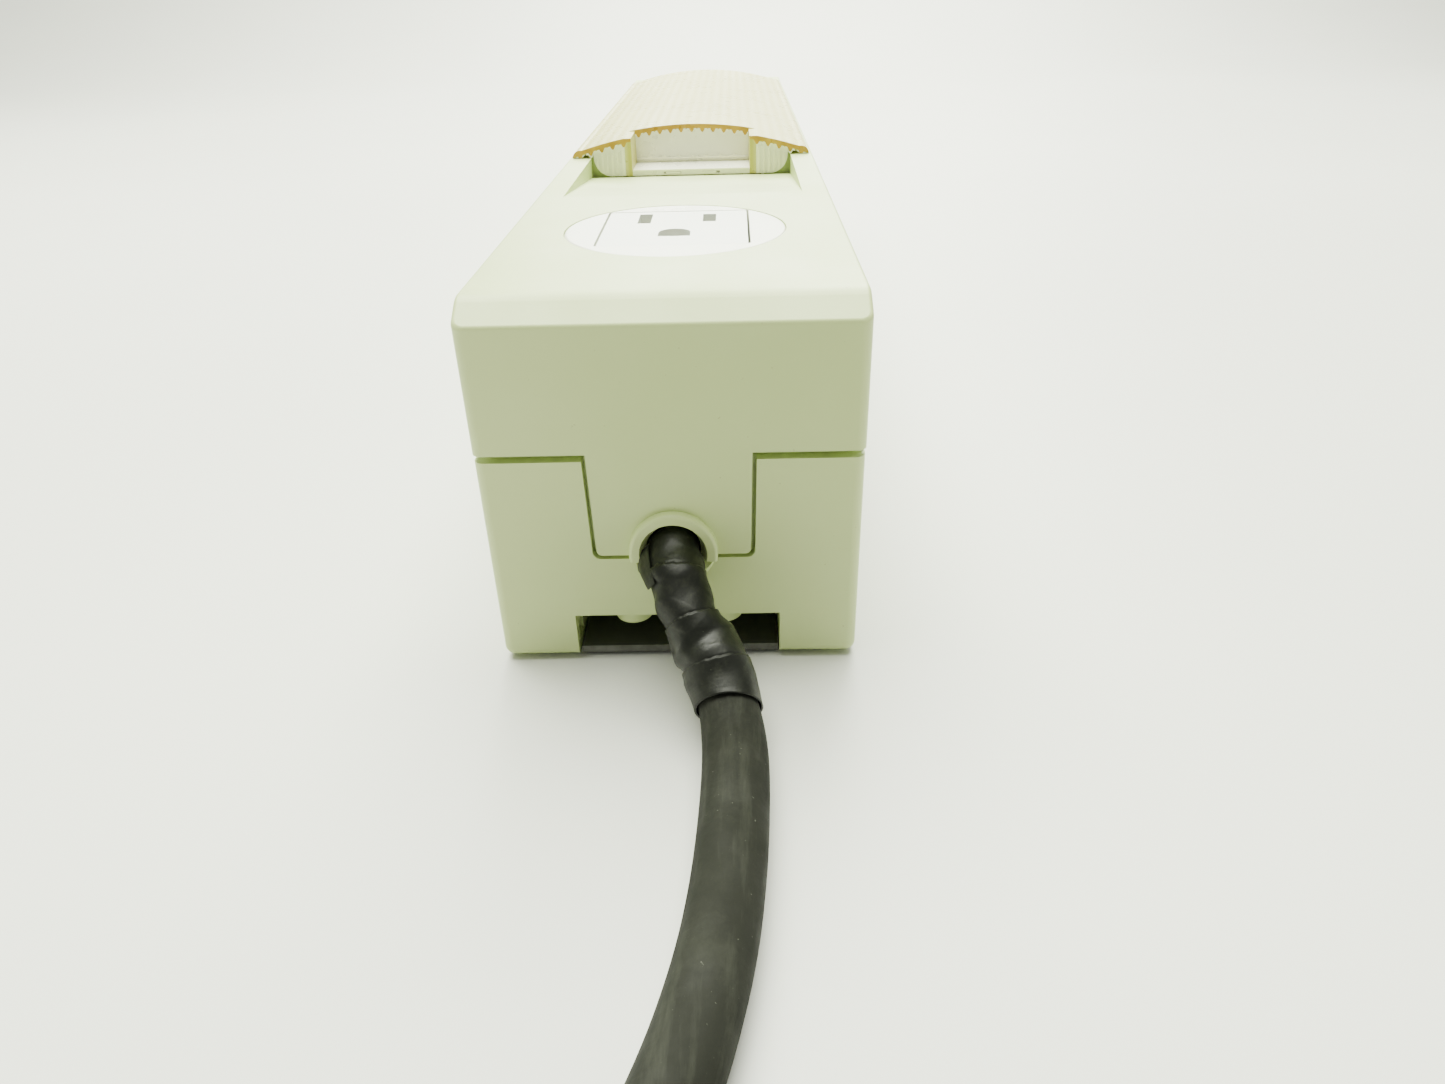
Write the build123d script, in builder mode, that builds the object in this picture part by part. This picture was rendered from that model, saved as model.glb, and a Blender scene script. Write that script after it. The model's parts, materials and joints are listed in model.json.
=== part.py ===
"""Enclosure light with a built-in outlet, a hinged diffuser, a plug-in compact lamp and a mains cable.

Row frame: +Z up, +Y along the housing away from the cable end, +X to the right when looking along +Y.
The origin is the centre of the bottom of the bounding box, cable left out. All sizes are millimetres.
Places along the housing are distances from the cable-end face, turned into Y by along().
"""
import math
import os

from build123d import *

os.makedirs("parts", exist_ok=True)

# ---- driving dimensions ----------------------------------------------------------------------------
LENGTH = 345.0
COVER_WIDTH = 64.2
BASE_WIDTH = 63.9
TOP_Z = 66.0
COVER_BOTTOM_Z = 41.1
BASE_TOP_Z = 39.9
FOOT_HEIGHT = 0.8
WALL = 2.0
CORNER_RADIUS = 1.8
COLLAR_PROUD = 1.7
NEAR = -(LENGTH - COLLAR_PROUD) / 2
FAR = NEAR + LENGTH
MIDDLE = (NEAR + FAR) / 2

# legs and the channel between them
CHANNEL_HALF = 18.2
CHANNEL_TOP_Z = 9.7
FLOOR_Z = CHANNEL_TOP_Z + WALL
LEG_FLOOR_Z = FOOT_HEIGHT + WALL
BASE_INNER_HALF = BASE_WIDTH / 2 - WALL
COVER_INNER_HALF = COVER_WIDTH / 2 - WALL

# cable entry: a tongue of the cover hangs in a slot of the base, with a split collar round the cable
TONGUE_TOP_HALF, TONGUE_BOTTOM_HALF, TONGUE_BOTTOM_Z = 13.6, 13.2, 22.1
SLOT_TOP_HALF, SLOT_BOTTOM_HALF, SLOT_BOTTOM_Z = 14.3, 13.9, 21.4
ENTRY_Z = 23.0
ENTRY_RADIUS = 4.75
COLLAR_RADIUS = 7.6
COLLAR_MOUTH_RADIUS = 5.8
COLLAR_CONE, LOWER_COLLAR_TAPER = 25, 35
LOWER_COLLAR_PROUD = 1.2
SPLIT_Z = 21.6

# outlet
OUTLET_Y, BEZEL_RADIUS, BEZEL_THICKNESS = 47.1, 21.0, 1.6
INSERT_Y, INSERT_SIZE = 48.3, 27.4
BLADE_X, BLADE_Y, GROUND_Y = 6.35, 56.0, 44.1
SLOT_WIDTH, NEUTRAL_SLOT, LINE_SLOT, GROUND_HOLE = 2.6, 8.0, 6.5, 6.0
INSERT_BOTTOM_Z = 43.0
SOCKET_HOLE = 31.6

# finger scoop and diffuser
SCOOP_START, SCOOP_END, SCOOP_HALF, SCOOP_END_Z = 79.2, 129.0, 26.2, 61.2
LENS_START, LENS_END = 129.3, 306.0
OPENING_END = LENS_END + 0.6
LENS_HALF, LENS_BOTTOM_Z, LENS_CROWN_Z, LENS_CROWN_RADIUS = 31.1, 66.15, 72.2, 98.0
LENS_SHELL, LENS_WALL = 1.1, 1.3
LENS_CORNER_X = 28.6
WEB_INNER_X, WEB_GAP, WEB_THICKNESS = 20.0, 0.4, 1.0
LENS_SIDE_BOW, LENS_SIDE_Z, LENS_LIP_Z = 0.55, 67.35, 66.8
RIB_PITCH, RIB_DEPTH = 2.9, 1.0
POCKET_HALF, POCKET_DEPTH, POST = 15.5, 13.2, 1.7
SKIRT_HALF, SKIRT_BOTTOM_Z, END_CORNER = 25.5, 61.4, 4.6

# lamp: a 9 W twin-tube compact lamp with a two-pin base, lying flat
LAMP_Z = 50.0
HOLDER_START, HOLDER_END = 101.0, 127.0
LAMP_BASE_LENGTH, LAMP_TIP = 15.5, 271.5
TUBE_RADIUS, TUBE_X = 6.1, 7.6

# switch
SWITCH_Y = 329.0
SWITCH_CUT_X, SWITCH_CUT_Y = 19.4, 13.0
SWITCH_DEPTH = 15.0

# cable
STUB_RADIUS = 4.1
CORD_RADIUS = 5.1
WIRE_RADIUS = 1.3
JACKET_END = 12.0


def along(distance):
    """The Y of a place at this distance from the cable-end face."""
    return NEAR + distance


def section(distance):
    """A plane across the housing there: sketch in X and Z, extrude by a negative amount towards +Y."""
    return Plane.XZ.offset(-along(distance))


def block(low, high, mode=Mode.ADD):
    """A box between two corners, for the part being built."""
    size = [b - a for a, b in zip(low, high)]
    middle = tuple((a + b) / 2 for a, b in zip(low, high))
    with Locations(middle):
        Box(*size, mode=mode)


def rod(start, end, radius, mode=Mode.ADD):
    """A round rod between two points, for the part being built."""
    axis = Vector(*end) - Vector(*start)
    with Locations(Plane(origin=start, z_dir=axis)):
        Cylinder(radius, axis.length, align=(Align.CENTER, Align.CENTER, Align.MIN), mode=mode)


def discs(spots, radius, low_z, high_z, mode=Mode.ADD):
    """Upright round bosses or holes at some (x, y) spots."""
    for x, y in spots:
        rod((x, y, low_z), (x, y, high_z), radius, mode)


def save(part, name):
    """Label a finished piece and write its STEP file."""
    part.label = name
    export_step(part, f"parts/{name}.step")


# ---- lower housing ---------------------------------------------------------------------------------
CLAMP_Y, CLAMP_SCREW_X, CLAMP_WIDTH = 5.3, 8.2, 4.8
CLAMP_BOSS_RADIUS, CLAMP_BOSS_BOTTOM_Z, CLAMP_BOSS_TOP_Z = 3.3, 6.6, 20.5
COLUMN_X, COLUMN_RADIUS, COLUMN_TOP_Z = 26.0, 3.2, 45.0
COLUMN_YS = (134.0, 302.0)
PLATE_TOP_Z = 2.15
PLATE_SCREW_YS = (75.0, 270.0)
BALLAST_SCREW_YS = (150.0, 238.0)
BALLAST_PAD = 2.0
LIP_THICKNESS, LIP_GAP, LIP_TOP_Z, LIP_ROOT = 1.2, 0.2, 42.6, 1.0
TONGUE_BACK, TONGUE_BACK_GAP = 0.75, 0.05
WINDOW_Y, WINDOW_LENGTH, WINDOW_LOW_Z, WINDOW_HIGH_Z = 4.3, 4.4, 2.9, 6.2
FOOT_X, FOOT_SIZE_X, FOOT_SIZE_Y, FOOT_INSET = 27.7, 4.2, 9.0, 6.5
CLAMP_SPOTS = [(x, along(CLAMP_Y)) for x in (-CLAMP_SCREW_X, CLAMP_SCREW_X)]
COLUMN_SPOTS = [(x, along(y)) for x in (-COLUMN_X, COLUMN_X) for y in COLUMN_YS]
BALLAST_SPOTS = [(0, along(y)) for y in BALLAST_SCREW_YS]
PLATE_SPOTS = [(0, along(y)) for y in PLATE_SCREW_YS]

with BuildPart() as base_housing:
    with BuildSketch(Plane.XY.offset(FOOT_HEIGHT)):
        with Locations((0, MIDDLE)):
            RectangleRounded(BASE_WIDTH, LENGTH, CORNER_RADIUS)
    extrude(amount=BASE_TOP_Z - FOOT_HEIGHT)
    fillet(base_housing.edges().group_by(Axis.Z)[0], radius=1.6)
    # the hollow inside, which reaches down into both legs
    with BuildSketch(section(WALL)):
        with BuildLine():
            Polyline(
                (-BASE_INNER_HALF, TOP_Z),
                (-BASE_INNER_HALF, LEG_FLOOR_Z),
                (-CHANNEL_HALF - WALL, LEG_FLOOR_Z),
                (-CHANNEL_HALF - WALL, FLOOR_Z),
                (CHANNEL_HALF + WALL, FLOOR_Z),
                (CHANNEL_HALF + WALL, LEG_FLOOR_Z),
                (BASE_INNER_HALF, LEG_FLOOR_Z),
                (BASE_INNER_HALF, TOP_Z),
                close=True,
            )
        make_face()
    extrude(amount=-(LENGTH - 2 * WALL), mode=Mode.SUBTRACT)
    # the channel between the legs, open at both ends
    block((-CHANNEL_HALF, NEAR - 1, -1), (CHANNEL_HALF, FAR + 1, CHANNEL_TOP_Z), Mode.SUBTRACT)
    # windows through the legs' inner walls, just behind each end wall
    window_half_x = CHANNEL_HALF + WALL + 0.4
    for y in (NEAR + WINDOW_Y, FAR - WINDOW_Y):
        block(
            (-window_half_x, y - WINDOW_LENGTH / 2, WINDOW_LOW_Z),
            (window_half_x, y + WINDOW_LENGTH / 2, WINDOW_HIGH_Z),
            Mode.SUBTRACT,
        )
    # a lip that closes the seam from inside, standing on a root against the walls
    lip_half_x = BASE_INNER_HALF - LIP_GAP
    lip_half_y = LENGTH / 2 - WALL - LIP_GAP
    for grow, low_z, high_z in ((0.0, BASE_TOP_Z - LIP_ROOT, LIP_TOP_Z), (0.5, BASE_TOP_Z - LIP_ROOT, BASE_TOP_Z)):
        with BuildSketch(Plane.XY.offset(low_z)):
            with Locations((0, MIDDLE)):
                RectangleRounded(2 * (lip_half_x + grow), 2 * (lip_half_y + grow), 1.0)
                RectangleRounded(
                    2 * (lip_half_x - LIP_THICKNESS), 2 * (lip_half_y - LIP_THICKNESS), 0.6, mode=Mode.SUBTRACT
                )
        extrude(amount=high_z - low_z)
    # the clamp's saddle and its two bosses, whose ends show in the channel
    block(
        (-CLAMP_SCREW_X, along(WALL - 0.5), FLOOR_Z - 0.5),
        (CLAMP_SCREW_X, along(CLAMP_Y + CLAMP_WIDTH / 2), SPLIT_Z - 0.3),
    )
    discs(CLAMP_SPOTS, CLAMP_BOSS_RADIUS, CLAMP_BOSS_BOTTOM_Z, CLAMP_BOSS_TOP_Z)
    discs(CLAMP_SPOTS, 1.3, CLAMP_BOSS_TOP_Z - 9, CLAMP_BOSS_TOP_Z + 5, Mode.SUBTRACT)
    rod((0, NEAR - 1, ENTRY_Z), (0, along(WALL), ENTRY_Z), ENTRY_RADIUS, Mode.SUBTRACT)
    rod((0, along(WALL), ENTRY_Z), (0, along(JACKET_END), ENTRY_Z), STUB_RADIUS + 0.05, Mode.SUBTRACT)
    # slot for the cover's tongue
    with BuildSketch(section(-1)) as slot_outline:
        with BuildLine():
            Polyline(
                (-SLOT_TOP_HALF, BASE_TOP_Z + 1),
                (-SLOT_BOTTOM_HALF, SLOT_BOTTOM_Z),
                (SLOT_BOTTOM_HALF, SLOT_BOTTOM_Z),
                (SLOT_TOP_HALF, BASE_TOP_Z + 1),
                close=True,
            )
        make_face()
        fillet(slot_outline.vertices().group_by(Axis.Y)[0], radius=1.4)
    extrude(amount=-(WALL + 1.05), mode=Mode.SUBTRACT)
    # a thin wall behind the slot backs the tongue and lets the cable through
    with BuildSketch(section(WALL + TONGUE_BACK_GAP)):
        with BuildLine():
            Polyline(
                (-SLOT_TOP_HALF - 1, BASE_TOP_Z),
                (-SLOT_BOTTOM_HALF - 1, SLOT_BOTTOM_Z - 1),
                (SLOT_BOTTOM_HALF + 1, SLOT_BOTTOM_Z - 1),
                (SLOT_TOP_HALF + 1, BASE_TOP_Z),
                close=True,
            )
        make_face()
        with Locations((0, ENTRY_Z)):
            Circle(ENTRY_RADIUS, mode=Mode.SUBTRACT)
    extrude(amount=-TONGUE_BACK)
    # the collar's lower half, a shallow cone on the end wall
    with BuildSketch(section(0.5)):
        with Locations((0, ENTRY_Z)):
            Circle(COLLAR_RADIUS)
        with Locations((0, SPLIT_Z - 0.3 + COLLAR_RADIUS)):
            Rectangle(4 * COLLAR_RADIUS, 2 * COLLAR_RADIUS, mode=Mode.SUBTRACT)
    extrude(amount=0.5 + LOWER_COLLAR_PROUD, taper=LOWER_COLLAR_TAPER)
    rod((0, NEAR - 2, ENTRY_Z), (0, along(1), ENTRY_Z), ENTRY_RADIUS + 0.3, Mode.SUBTRACT)
    # columns for the cover screws, pads for the ballast, bosses for the mounting plate
    discs(COLUMN_SPOTS, COLUMN_RADIUS, LEG_FLOOR_Z - 0.5, COLUMN_TOP_Z)
    discs(COLUMN_SPOTS, 1.45, COLUMN_TOP_Z - 14, COLUMN_TOP_Z + 1, Mode.SUBTRACT)
    discs(BALLAST_SPOTS, 3.5, FLOOR_Z - 0.5, FLOOR_Z + BALLAST_PAD)
    discs(BALLAST_SPOTS, 1.45, CHANNEL_TOP_Z + 0.8, FLOOR_Z + BALLAST_PAD + 1, Mode.SUBTRACT)
    discs(PLATE_SPOTS, 3.5, PLATE_TOP_Z, CHANNEL_TOP_Z + 0.5)
    discs(PLATE_SPOTS, 1.25, PLATE_TOP_Z - 1, CHANNEL_TOP_Z, Mode.SUBTRACT)
    # moulded foot pads
    with BuildSketch(Plane.XY):
        for x in (-FOOT_X, FOOT_X):
            with Locations((x, NEAR + FOOT_INSET), (x, FAR - FOOT_INSET)):
                RectangleRounded(FOOT_SIZE_X, FOOT_SIZE_Y, 0.8)
    extrude(amount=FOOT_HEIGHT + 0.6)
save(base_housing.part, "base_housing")

# ---- upper housing ---------------------------------------------------------------------------------
RAMP_ANGLE, RAMP_RADIUS, RAMP_DROP = math.radians(32), 5.0, 3.4
RAMP_ARC_RUN = RAMP_RADIUS * math.sin(RAMP_ANGLE)
RAMP_ARC_DROP = RAMP_RADIUS * (1 - math.cos(RAMP_ANGLE))
RAMP_RUN = RAMP_ARC_RUN + (RAMP_DROP - RAMP_ARC_DROP) / math.tan(RAMP_ANGLE)
EAR_BOTTOM_Z, EAR_THICKNESS, EAR_WIDTH, EAR_INNER_X = 45.0, 2.0, 8.0, 22.6


def ramp(end, inward):
    """Three points of the arc where the cover's top turns down towards one of its end faces."""
    start = end + inward * RAMP_RUN
    points = []
    for angle in (0.0, RAMP_ANGLE / 2, RAMP_ANGLE):
        fall = RAMP_RADIUS * (1 - math.cos(angle))
        points.append((start - inward * RAMP_RADIUS * math.sin(angle), TOP_Z - fall))
    return points


with BuildPart() as top_cover:
    with BuildSketch(Plane.YZ.offset(-COVER_WIDTH / 2)):
        with BuildLine():
            near_ramp = ThreePointArc(*ramp(NEAR, 1))
            far_ramp = ThreePointArc(*ramp(FAR, -1))
            Line(near_ramp @ 0, far_ramp @ 0)
            Polyline(
                near_ramp @ 1,
                (NEAR, TOP_Z - RAMP_DROP),
                (NEAR, COVER_BOTTOM_Z),
                (FAR, COVER_BOTTOM_Z),
                (FAR, TOP_Z - RAMP_DROP),
                far_ramp @ 1,
            )
        make_face()
    extrude(amount=COVER_WIDTH)
    fillet(top_cover.edges().filter_by(Axis.Z), radius=CORNER_RADIUS)
    # a small radius all round the top
    top_face = top_cover.faces().sort_by(Axis.Z)[-1]
    fillet(top_face.edges().filter_by(Axis.Y), radius=0.8)
    # the hollow, whose ceiling comes down under the sloping ends so that the wall keeps its thickness
    with BuildSketch(Plane.YZ.offset(-COVER_INNER_HALF)):
        with BuildLine():
            Polyline(
                (NEAR + WALL, COVER_BOTTOM_Z),
                (NEAR + WALL, TOP_Z - RAMP_DROP - WALL),
                (NEAR + RAMP_RUN + 1, TOP_Z - WALL),
                (FAR - RAMP_RUN - 1, TOP_Z - WALL),
                (FAR - WALL, TOP_Z - RAMP_DROP - WALL),
                (FAR - WALL, COVER_BOTTOM_Z),
                close=True,
            )
        make_face()
    extrude(amount=2 * COVER_INNER_HALF, mode=Mode.SUBTRACT)
    # material under the finger scoop, then the scoop itself
    with BuildSketch(Plane.YZ.offset(-SCOOP_HALF - WALL)):
        with BuildLine():
            Polyline(
                (along(SCOOP_START - 8), TOP_Z - WALL + 0.5),
                (along(SCOOP_START - 8), TOP_Z - WALL),
                (along(SCOOP_END), SCOOP_END_Z - WALL),
                (along(SCOOP_END), TOP_Z - WALL + 0.5),
                close=True,
            )
        make_face()
    extrude(amount=2 * (SCOOP_HALF + WALL))
    with BuildSketch(Plane.YZ.offset(-SCOOP_HALF)):
        with BuildLine():
            Polyline(
                (along(SCOOP_START), TOP_Z),
                (along(SCOOP_END + 1), SCOOP_END_Z - 0.1),
                (along(SCOOP_END + 1), TOP_Z + 1),
                (along(SCOOP_START), TOP_Z + 1),
                close=True,
            )
        make_face()
    extrude(amount=2 * SCOOP_HALF, mode=Mode.SUBTRACT)
    # the diffuser's opening, the outlet's seat and hole, and the switch's cut-out
    block(
        (-SCOOP_HALF, along(SCOOP_END), SCOOP_END_Z - WALL - 1), (SCOOP_HALF, along(OPENING_END), TOP_Z + 1),
        Mode.SUBTRACT,
    )
    rod(
        (0, along(OUTLET_Y), TOP_Z - BEZEL_THICKNESS), (0, along(OUTLET_Y), TOP_Z + 1), BEZEL_RADIUS + 0.1,
        Mode.SUBTRACT,
    )
    with BuildSketch(Plane.XY.offset(TOP_Z - WALL - 1)):
        with Locations((0, along(INSERT_Y))):
            RectangleRounded(SOCKET_HOLE, SOCKET_HOLE, 5.0)
        with Locations((0, along(SWITCH_Y))):
            Rectangle(SWITCH_CUT_X, SWITCH_CUT_Y)
    extrude(amount=WALL + 2, mode=Mode.SUBTRACT)
    # two webs close the opening behind the rounded corners of the diffuser's end panels
    for inner, outer in ((WEB_INNER_X, SCOOP_HALF + 0.5), (-SCOOP_HALF - 0.5, -WEB_INNER_X)):
        block(
            (inner, along(LENS_START + LENS_WALL + WEB_GAP), SCOOP_END_Z - 1),
            (outer, along(LENS_START + LENS_WALL + WEB_GAP + WEB_THICKNESS), TOP_Z),
        )
    # ears for the cover screws, reached through the diffuser's opening
    for side in (-1, 1):
        for y in COLUMN_YS:
            inner, outer = sorted((side * EAR_INNER_X, side * (COVER_INNER_HALF + 0.5)))
            block(
                (inner, along(y) - EAR_WIDTH / 2, EAR_BOTTOM_Z), (outer, along(y) + EAR_WIDTH / 2, EAR_BOTTOM_Z + EAR_THICKNESS)
            )
    discs(COLUMN_SPOTS, 1.8, EAR_BOTTOM_Z - 1, EAR_BOTTOM_Z + EAR_THICKNESS + 1, Mode.SUBTRACT)
    # tongue and the collar's upper half
    with BuildSketch(section(0)) as tongue_outline:
        with BuildLine():
            Polyline(
                (-TONGUE_TOP_HALF, COVER_BOTTOM_Z + 1),
                (-TONGUE_BOTTOM_HALF, TONGUE_BOTTOM_Z),
                (TONGUE_BOTTOM_HALF, TONGUE_BOTTOM_Z),
                (TONGUE_TOP_HALF, COVER_BOTTOM_Z + 1),
                close=True,
            )
        make_face()
        fillet(tongue_outline.vertices().group_by(Axis.Y)[0], radius=1.0)
    extrude(amount=-WALL + 0.1)
    with BuildSketch(section(WALL - 0.1)):
        with Locations((0, ENTRY_Z)):
            Circle(COLLAR_RADIUS)
        with Locations((0, SPLIT_Z - COLLAR_RADIUS)):
            Rectangle(4 * COLLAR_RADIUS, 2 * COLLAR_RADIUS, mode=Mode.SUBTRACT)
    extrude(amount=WALL - 0.1 + COLLAR_PROUD)
    collar_face = top_cover.faces().filter_by(Axis.Y).sort_by(Axis.Y)[0]
    fillet(collar_face.edges().filter_by(GeomType.CIRCLE), radius=0.6)
    rod((0, NEAR - COLLAR_PROUD - 1, ENTRY_Z), (0, along(WALL + 1), ENTRY_Z), ENTRY_RADIUS, Mode.SUBTRACT)
    with BuildSketch(section(-COLLAR_PROUD)):
        with Locations((0, ENTRY_Z)):
            Circle(COLLAR_MOUTH_RADIUS)
    extrude(amount=-2.2, taper=COLLAR_CONE, mode=Mode.SUBTRACT)
save(top_cover.part, "top_cover")

# ---- diffuser --------------------------------------------------------------------------------------
POCKET_SLOT_XS, POCKET_SLOT_HALF = (-4.9, 5.3), 2.3
HOOK_X, HOOK_HALF, HOOK_REACH, HOOK_TOP_Z = 14.0, 3.0, 3.0, 63.0


def crown_z(x, drop=0.0):
    """Height at x of the diffuser's arched top, or of a surface this far inside it."""
    return LENS_CROWN_Z - LENS_CROWN_RADIUS + math.sqrt((LENS_CROWN_RADIUS - drop) ** 2 - x**2)


def ribbed_underside():
    """The toothed underside of the arched top, from its right end to its left end."""
    half = LENS_CORNER_X - 0.8
    teeth = int(2 * half / RIB_PITCH)
    points = [(half, crown_z(half, LENS_SHELL))]
    for tooth in range(teeth):
        right = (teeth / 2 - tooth) * RIB_PITCH
        for part_of_pitch, depth in ((0.28, 0.0), (0.5, RIB_DEPTH), (0.72, 0.0)):
            x = right - part_of_pitch * RIB_PITCH
            points.append((x, crown_z(x, LENS_SHELL + depth)))
    points.append((-half, crown_z(-half, LENS_SHELL)))
    return points


with BuildPart() as lens:
    with BuildSketch(section(LENS_START)):
        with BuildLine():
            shoulder = crown_z(LENS_CORNER_X)
            ThreePointArc((-LENS_CORNER_X, shoulder), (0, LENS_CROWN_Z), (LENS_CORNER_X, shoulder))
            ThreePointArc((LENS_CORNER_X, shoulder), (LENS_HALF - LENS_SIDE_BOW, LENS_SIDE_Z), (LENS_HALF, LENS_BOTTOM_Z))
            Polyline(
                (LENS_HALF, LENS_BOTTOM_Z),
                (LENS_HALF - 2.4, LENS_BOTTOM_Z),
                (LENS_CORNER_X - 0.8, LENS_LIP_Z),
                *ribbed_underside(),
                (-LENS_CORNER_X + 0.8, LENS_LIP_Z),
                (-LENS_HALF + 2.4, LENS_BOTTOM_Z),
                (-LENS_HALF, LENS_BOTTOM_Z),
            )
            ThreePointArc((-LENS_HALF, LENS_BOTTOM_Z), (-LENS_HALF + LENS_SIDE_BOW, LENS_SIDE_Z), (-LENS_CORNER_X, shoulder))
        make_face()
    extrude(amount=-(LENS_END - LENS_START))
    # skirts that stand inside the cover's opening, and the two end walls
    skirt_top = crown_z(SKIRT_HALF, LENS_SHELL) + 0.3
    for inner, outer in ((SKIRT_HALF - LENS_WALL, SKIRT_HALF), (-SKIRT_HALF, -SKIRT_HALF + LENS_WALL)):
        block((inner, along(LENS_START + POCKET_DEPTH), SKIRT_BOTTOM_Z), (outer, along(LENS_END), skirt_top))
    for start in (LENS_START, LENS_END - LENS_WALL):
        with BuildSketch(section(start)) as end_wall:
            with BuildLine():
                edge_z = crown_z(SKIRT_HALF, 0.5)
                ThreePointArc((-SKIRT_HALF, edge_z), (0, crown_z(0, 0.5)), (SKIRT_HALF, edge_z))
                Polyline(
                    (SKIRT_HALF, edge_z),
                    (SKIRT_HALF, SKIRT_BOTTOM_Z),
                    (-SKIRT_HALF, SKIRT_BOTTOM_Z),
                    (-SKIRT_HALF, edge_z),
                )
            make_face()
            if start == LENS_START:
                fillet(end_wall.vertices().group_by(Axis.Y)[0], radius=END_CORNER)
        extrude(amount=-LENS_WALL)
    # finger pocket: the middle of the near end cut away, then two posts, a floor and a back wall
    post_outer = POCKET_HALF + POST
    pocket_back = LENS_START + POCKET_DEPTH
    block((-post_outer, along(LENS_START - 1), SKIRT_BOTTOM_Z - 1), (post_outer, along(pocket_back), 75), Mode.SUBTRACT)
    for inner, outer in ((POCKET_HALF, post_outer), (-post_outer, -POCKET_HALF)):
        block(
            (inner, along(LENS_START), SKIRT_BOTTOM_Z), (outer, along(pocket_back + LENS_WALL), crown_z(post_outer) - 0.05)
        )
    block(
        (-POCKET_HALF, along(LENS_START), SKIRT_BOTTOM_Z), (POCKET_HALF, along(pocket_back + LENS_WALL), SKIRT_BOTTOM_Z + 1.2)
    )
    block(
        (-POCKET_HALF, along(pocket_back), SKIRT_BOTTOM_Z),
        (POCKET_HALF, along(pocket_back + LENS_WALL), crown_z(POCKET_HALF) - 0.1),
    )
    for x in POCKET_SLOT_XS:
        block(
            (x - POCKET_SLOT_HALF, along(LENS_START - 1), SKIRT_BOTTOM_Z + 0.35),
            (x + POCKET_SLOT_HALF, along(LENS_START + 4), SKIRT_BOTTOM_Z + 0.85),
            Mode.SUBTRACT,
        )
    # two hooks reach under the far edge of the cover's opening
    for x in (-HOOK_X, HOOK_X):
        block(
            (x - HOOK_HALF, along(LENS_END - LENS_WALL), SKIRT_BOTTOM_Z), (x + HOOK_HALF, along(LENS_END + HOOK_REACH), HOOK_TOP_Z)
        )
save(lens.part, "lens")

# ---- mounting plate in the channel -----------------------------------------------------------------
PLATE_HALF, PLATE_BOTTOM_Z, PLATE_INSET = 17.9, 0.75, 1.2
MOUNT_SPACING, MOUNT_HOLE_RADIUS = 300.0, 2.75
with BuildPart() as mounting_plate:
    with BuildSketch(Plane.XY.offset(PLATE_BOTTOM_Z)):
        with Locations((0, MIDDLE)):
            Rectangle(2 * PLATE_HALF, LENGTH - 2 * PLATE_INSET)
        with Locations((0, MIDDLE - MOUNT_SPACING / 2), (0, MIDDLE + MOUNT_SPACING / 2)):
            Circle(MOUNT_HOLE_RADIUS, mode=Mode.SUBTRACT)
        with Locations(*PLATE_SPOTS):
            Circle(1.7, mode=Mode.SUBTRACT)
    extrude(amount=PLATE_TOP_Z - PLATE_BOTTOM_Z)
save(mounting_plate.part, "mounting_plate")


def screw(spot, seat_z, direction, shank, head, length):
    """A pan-head screw whose head sits on seat_z and whose shank goes along Z in this direction."""
    x, y = spot
    head_radius, head_height = head
    head_z = seat_z - direction * head_height
    rod((x, y, seat_z), (x, y, head_z), head_radius)
    rod((x, y, seat_z), (x, y, seat_z + direction * length), shank)
    recess_z = seat_z - direction * head_height * 0.4
    rod((x, y, recess_z), (x, y, head_z - direction), head_radius * 0.45, Mode.SUBTRACT)


def screw_set(name, spots, seat_z, direction, shank, head, length):
    """One file of identical screws."""
    with BuildPart() as screws:
        for spot in spots:
            screw(spot, seat_z, direction, shank, head, length)
    save(screws.part, name)


screw_set("plate_screws", PLATE_SPOTS, PLATE_BOTTOM_Z, 1, 1.2, (2.6, 0.6), 7.0)
screw_set("cover_screws", COLUMN_SPOTS, EAR_BOTTOM_Z + EAR_THICKNESS, -1, 1.4, (2.8, 2.0), 13.0)

# ---- strain relief ---------------------------------------------------------------------------------
CLAMP_BAR_BOTTOM_Z, CLAMP_BAR_TOP_Z = 24.6, 29.6
with BuildPart() as cable_clamp:
    with BuildSketch(section(CLAMP_Y - CLAMP_WIDTH / 2)):
        with Locations((0, (CLAMP_BAR_BOTTOM_Z + CLAMP_BAR_TOP_Z) / 2)):
            RectangleRounded(2 * CLAMP_SCREW_X + 6.4, CLAMP_BAR_TOP_Z - CLAMP_BAR_BOTTOM_Z, 0.8)
        with Locations((0, ENTRY_Z)):
            Circle(STUB_RADIUS + 0.05, mode=Mode.SUBTRACT)
    extrude(amount=-CLAMP_WIDTH)
    discs(CLAMP_SPOTS, 1.5, CLAMP_BAR_BOTTOM_Z - 1, CLAMP_BAR_TOP_Z + 1, Mode.SUBTRACT)
save(cable_clamp.part, "cable_clamp")
screw_set("clamp_screws", CLAMP_SPOTS, CLAMP_BAR_TOP_Z, -1, 1.25, (2.5, 1.8), 17.0)

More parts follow.
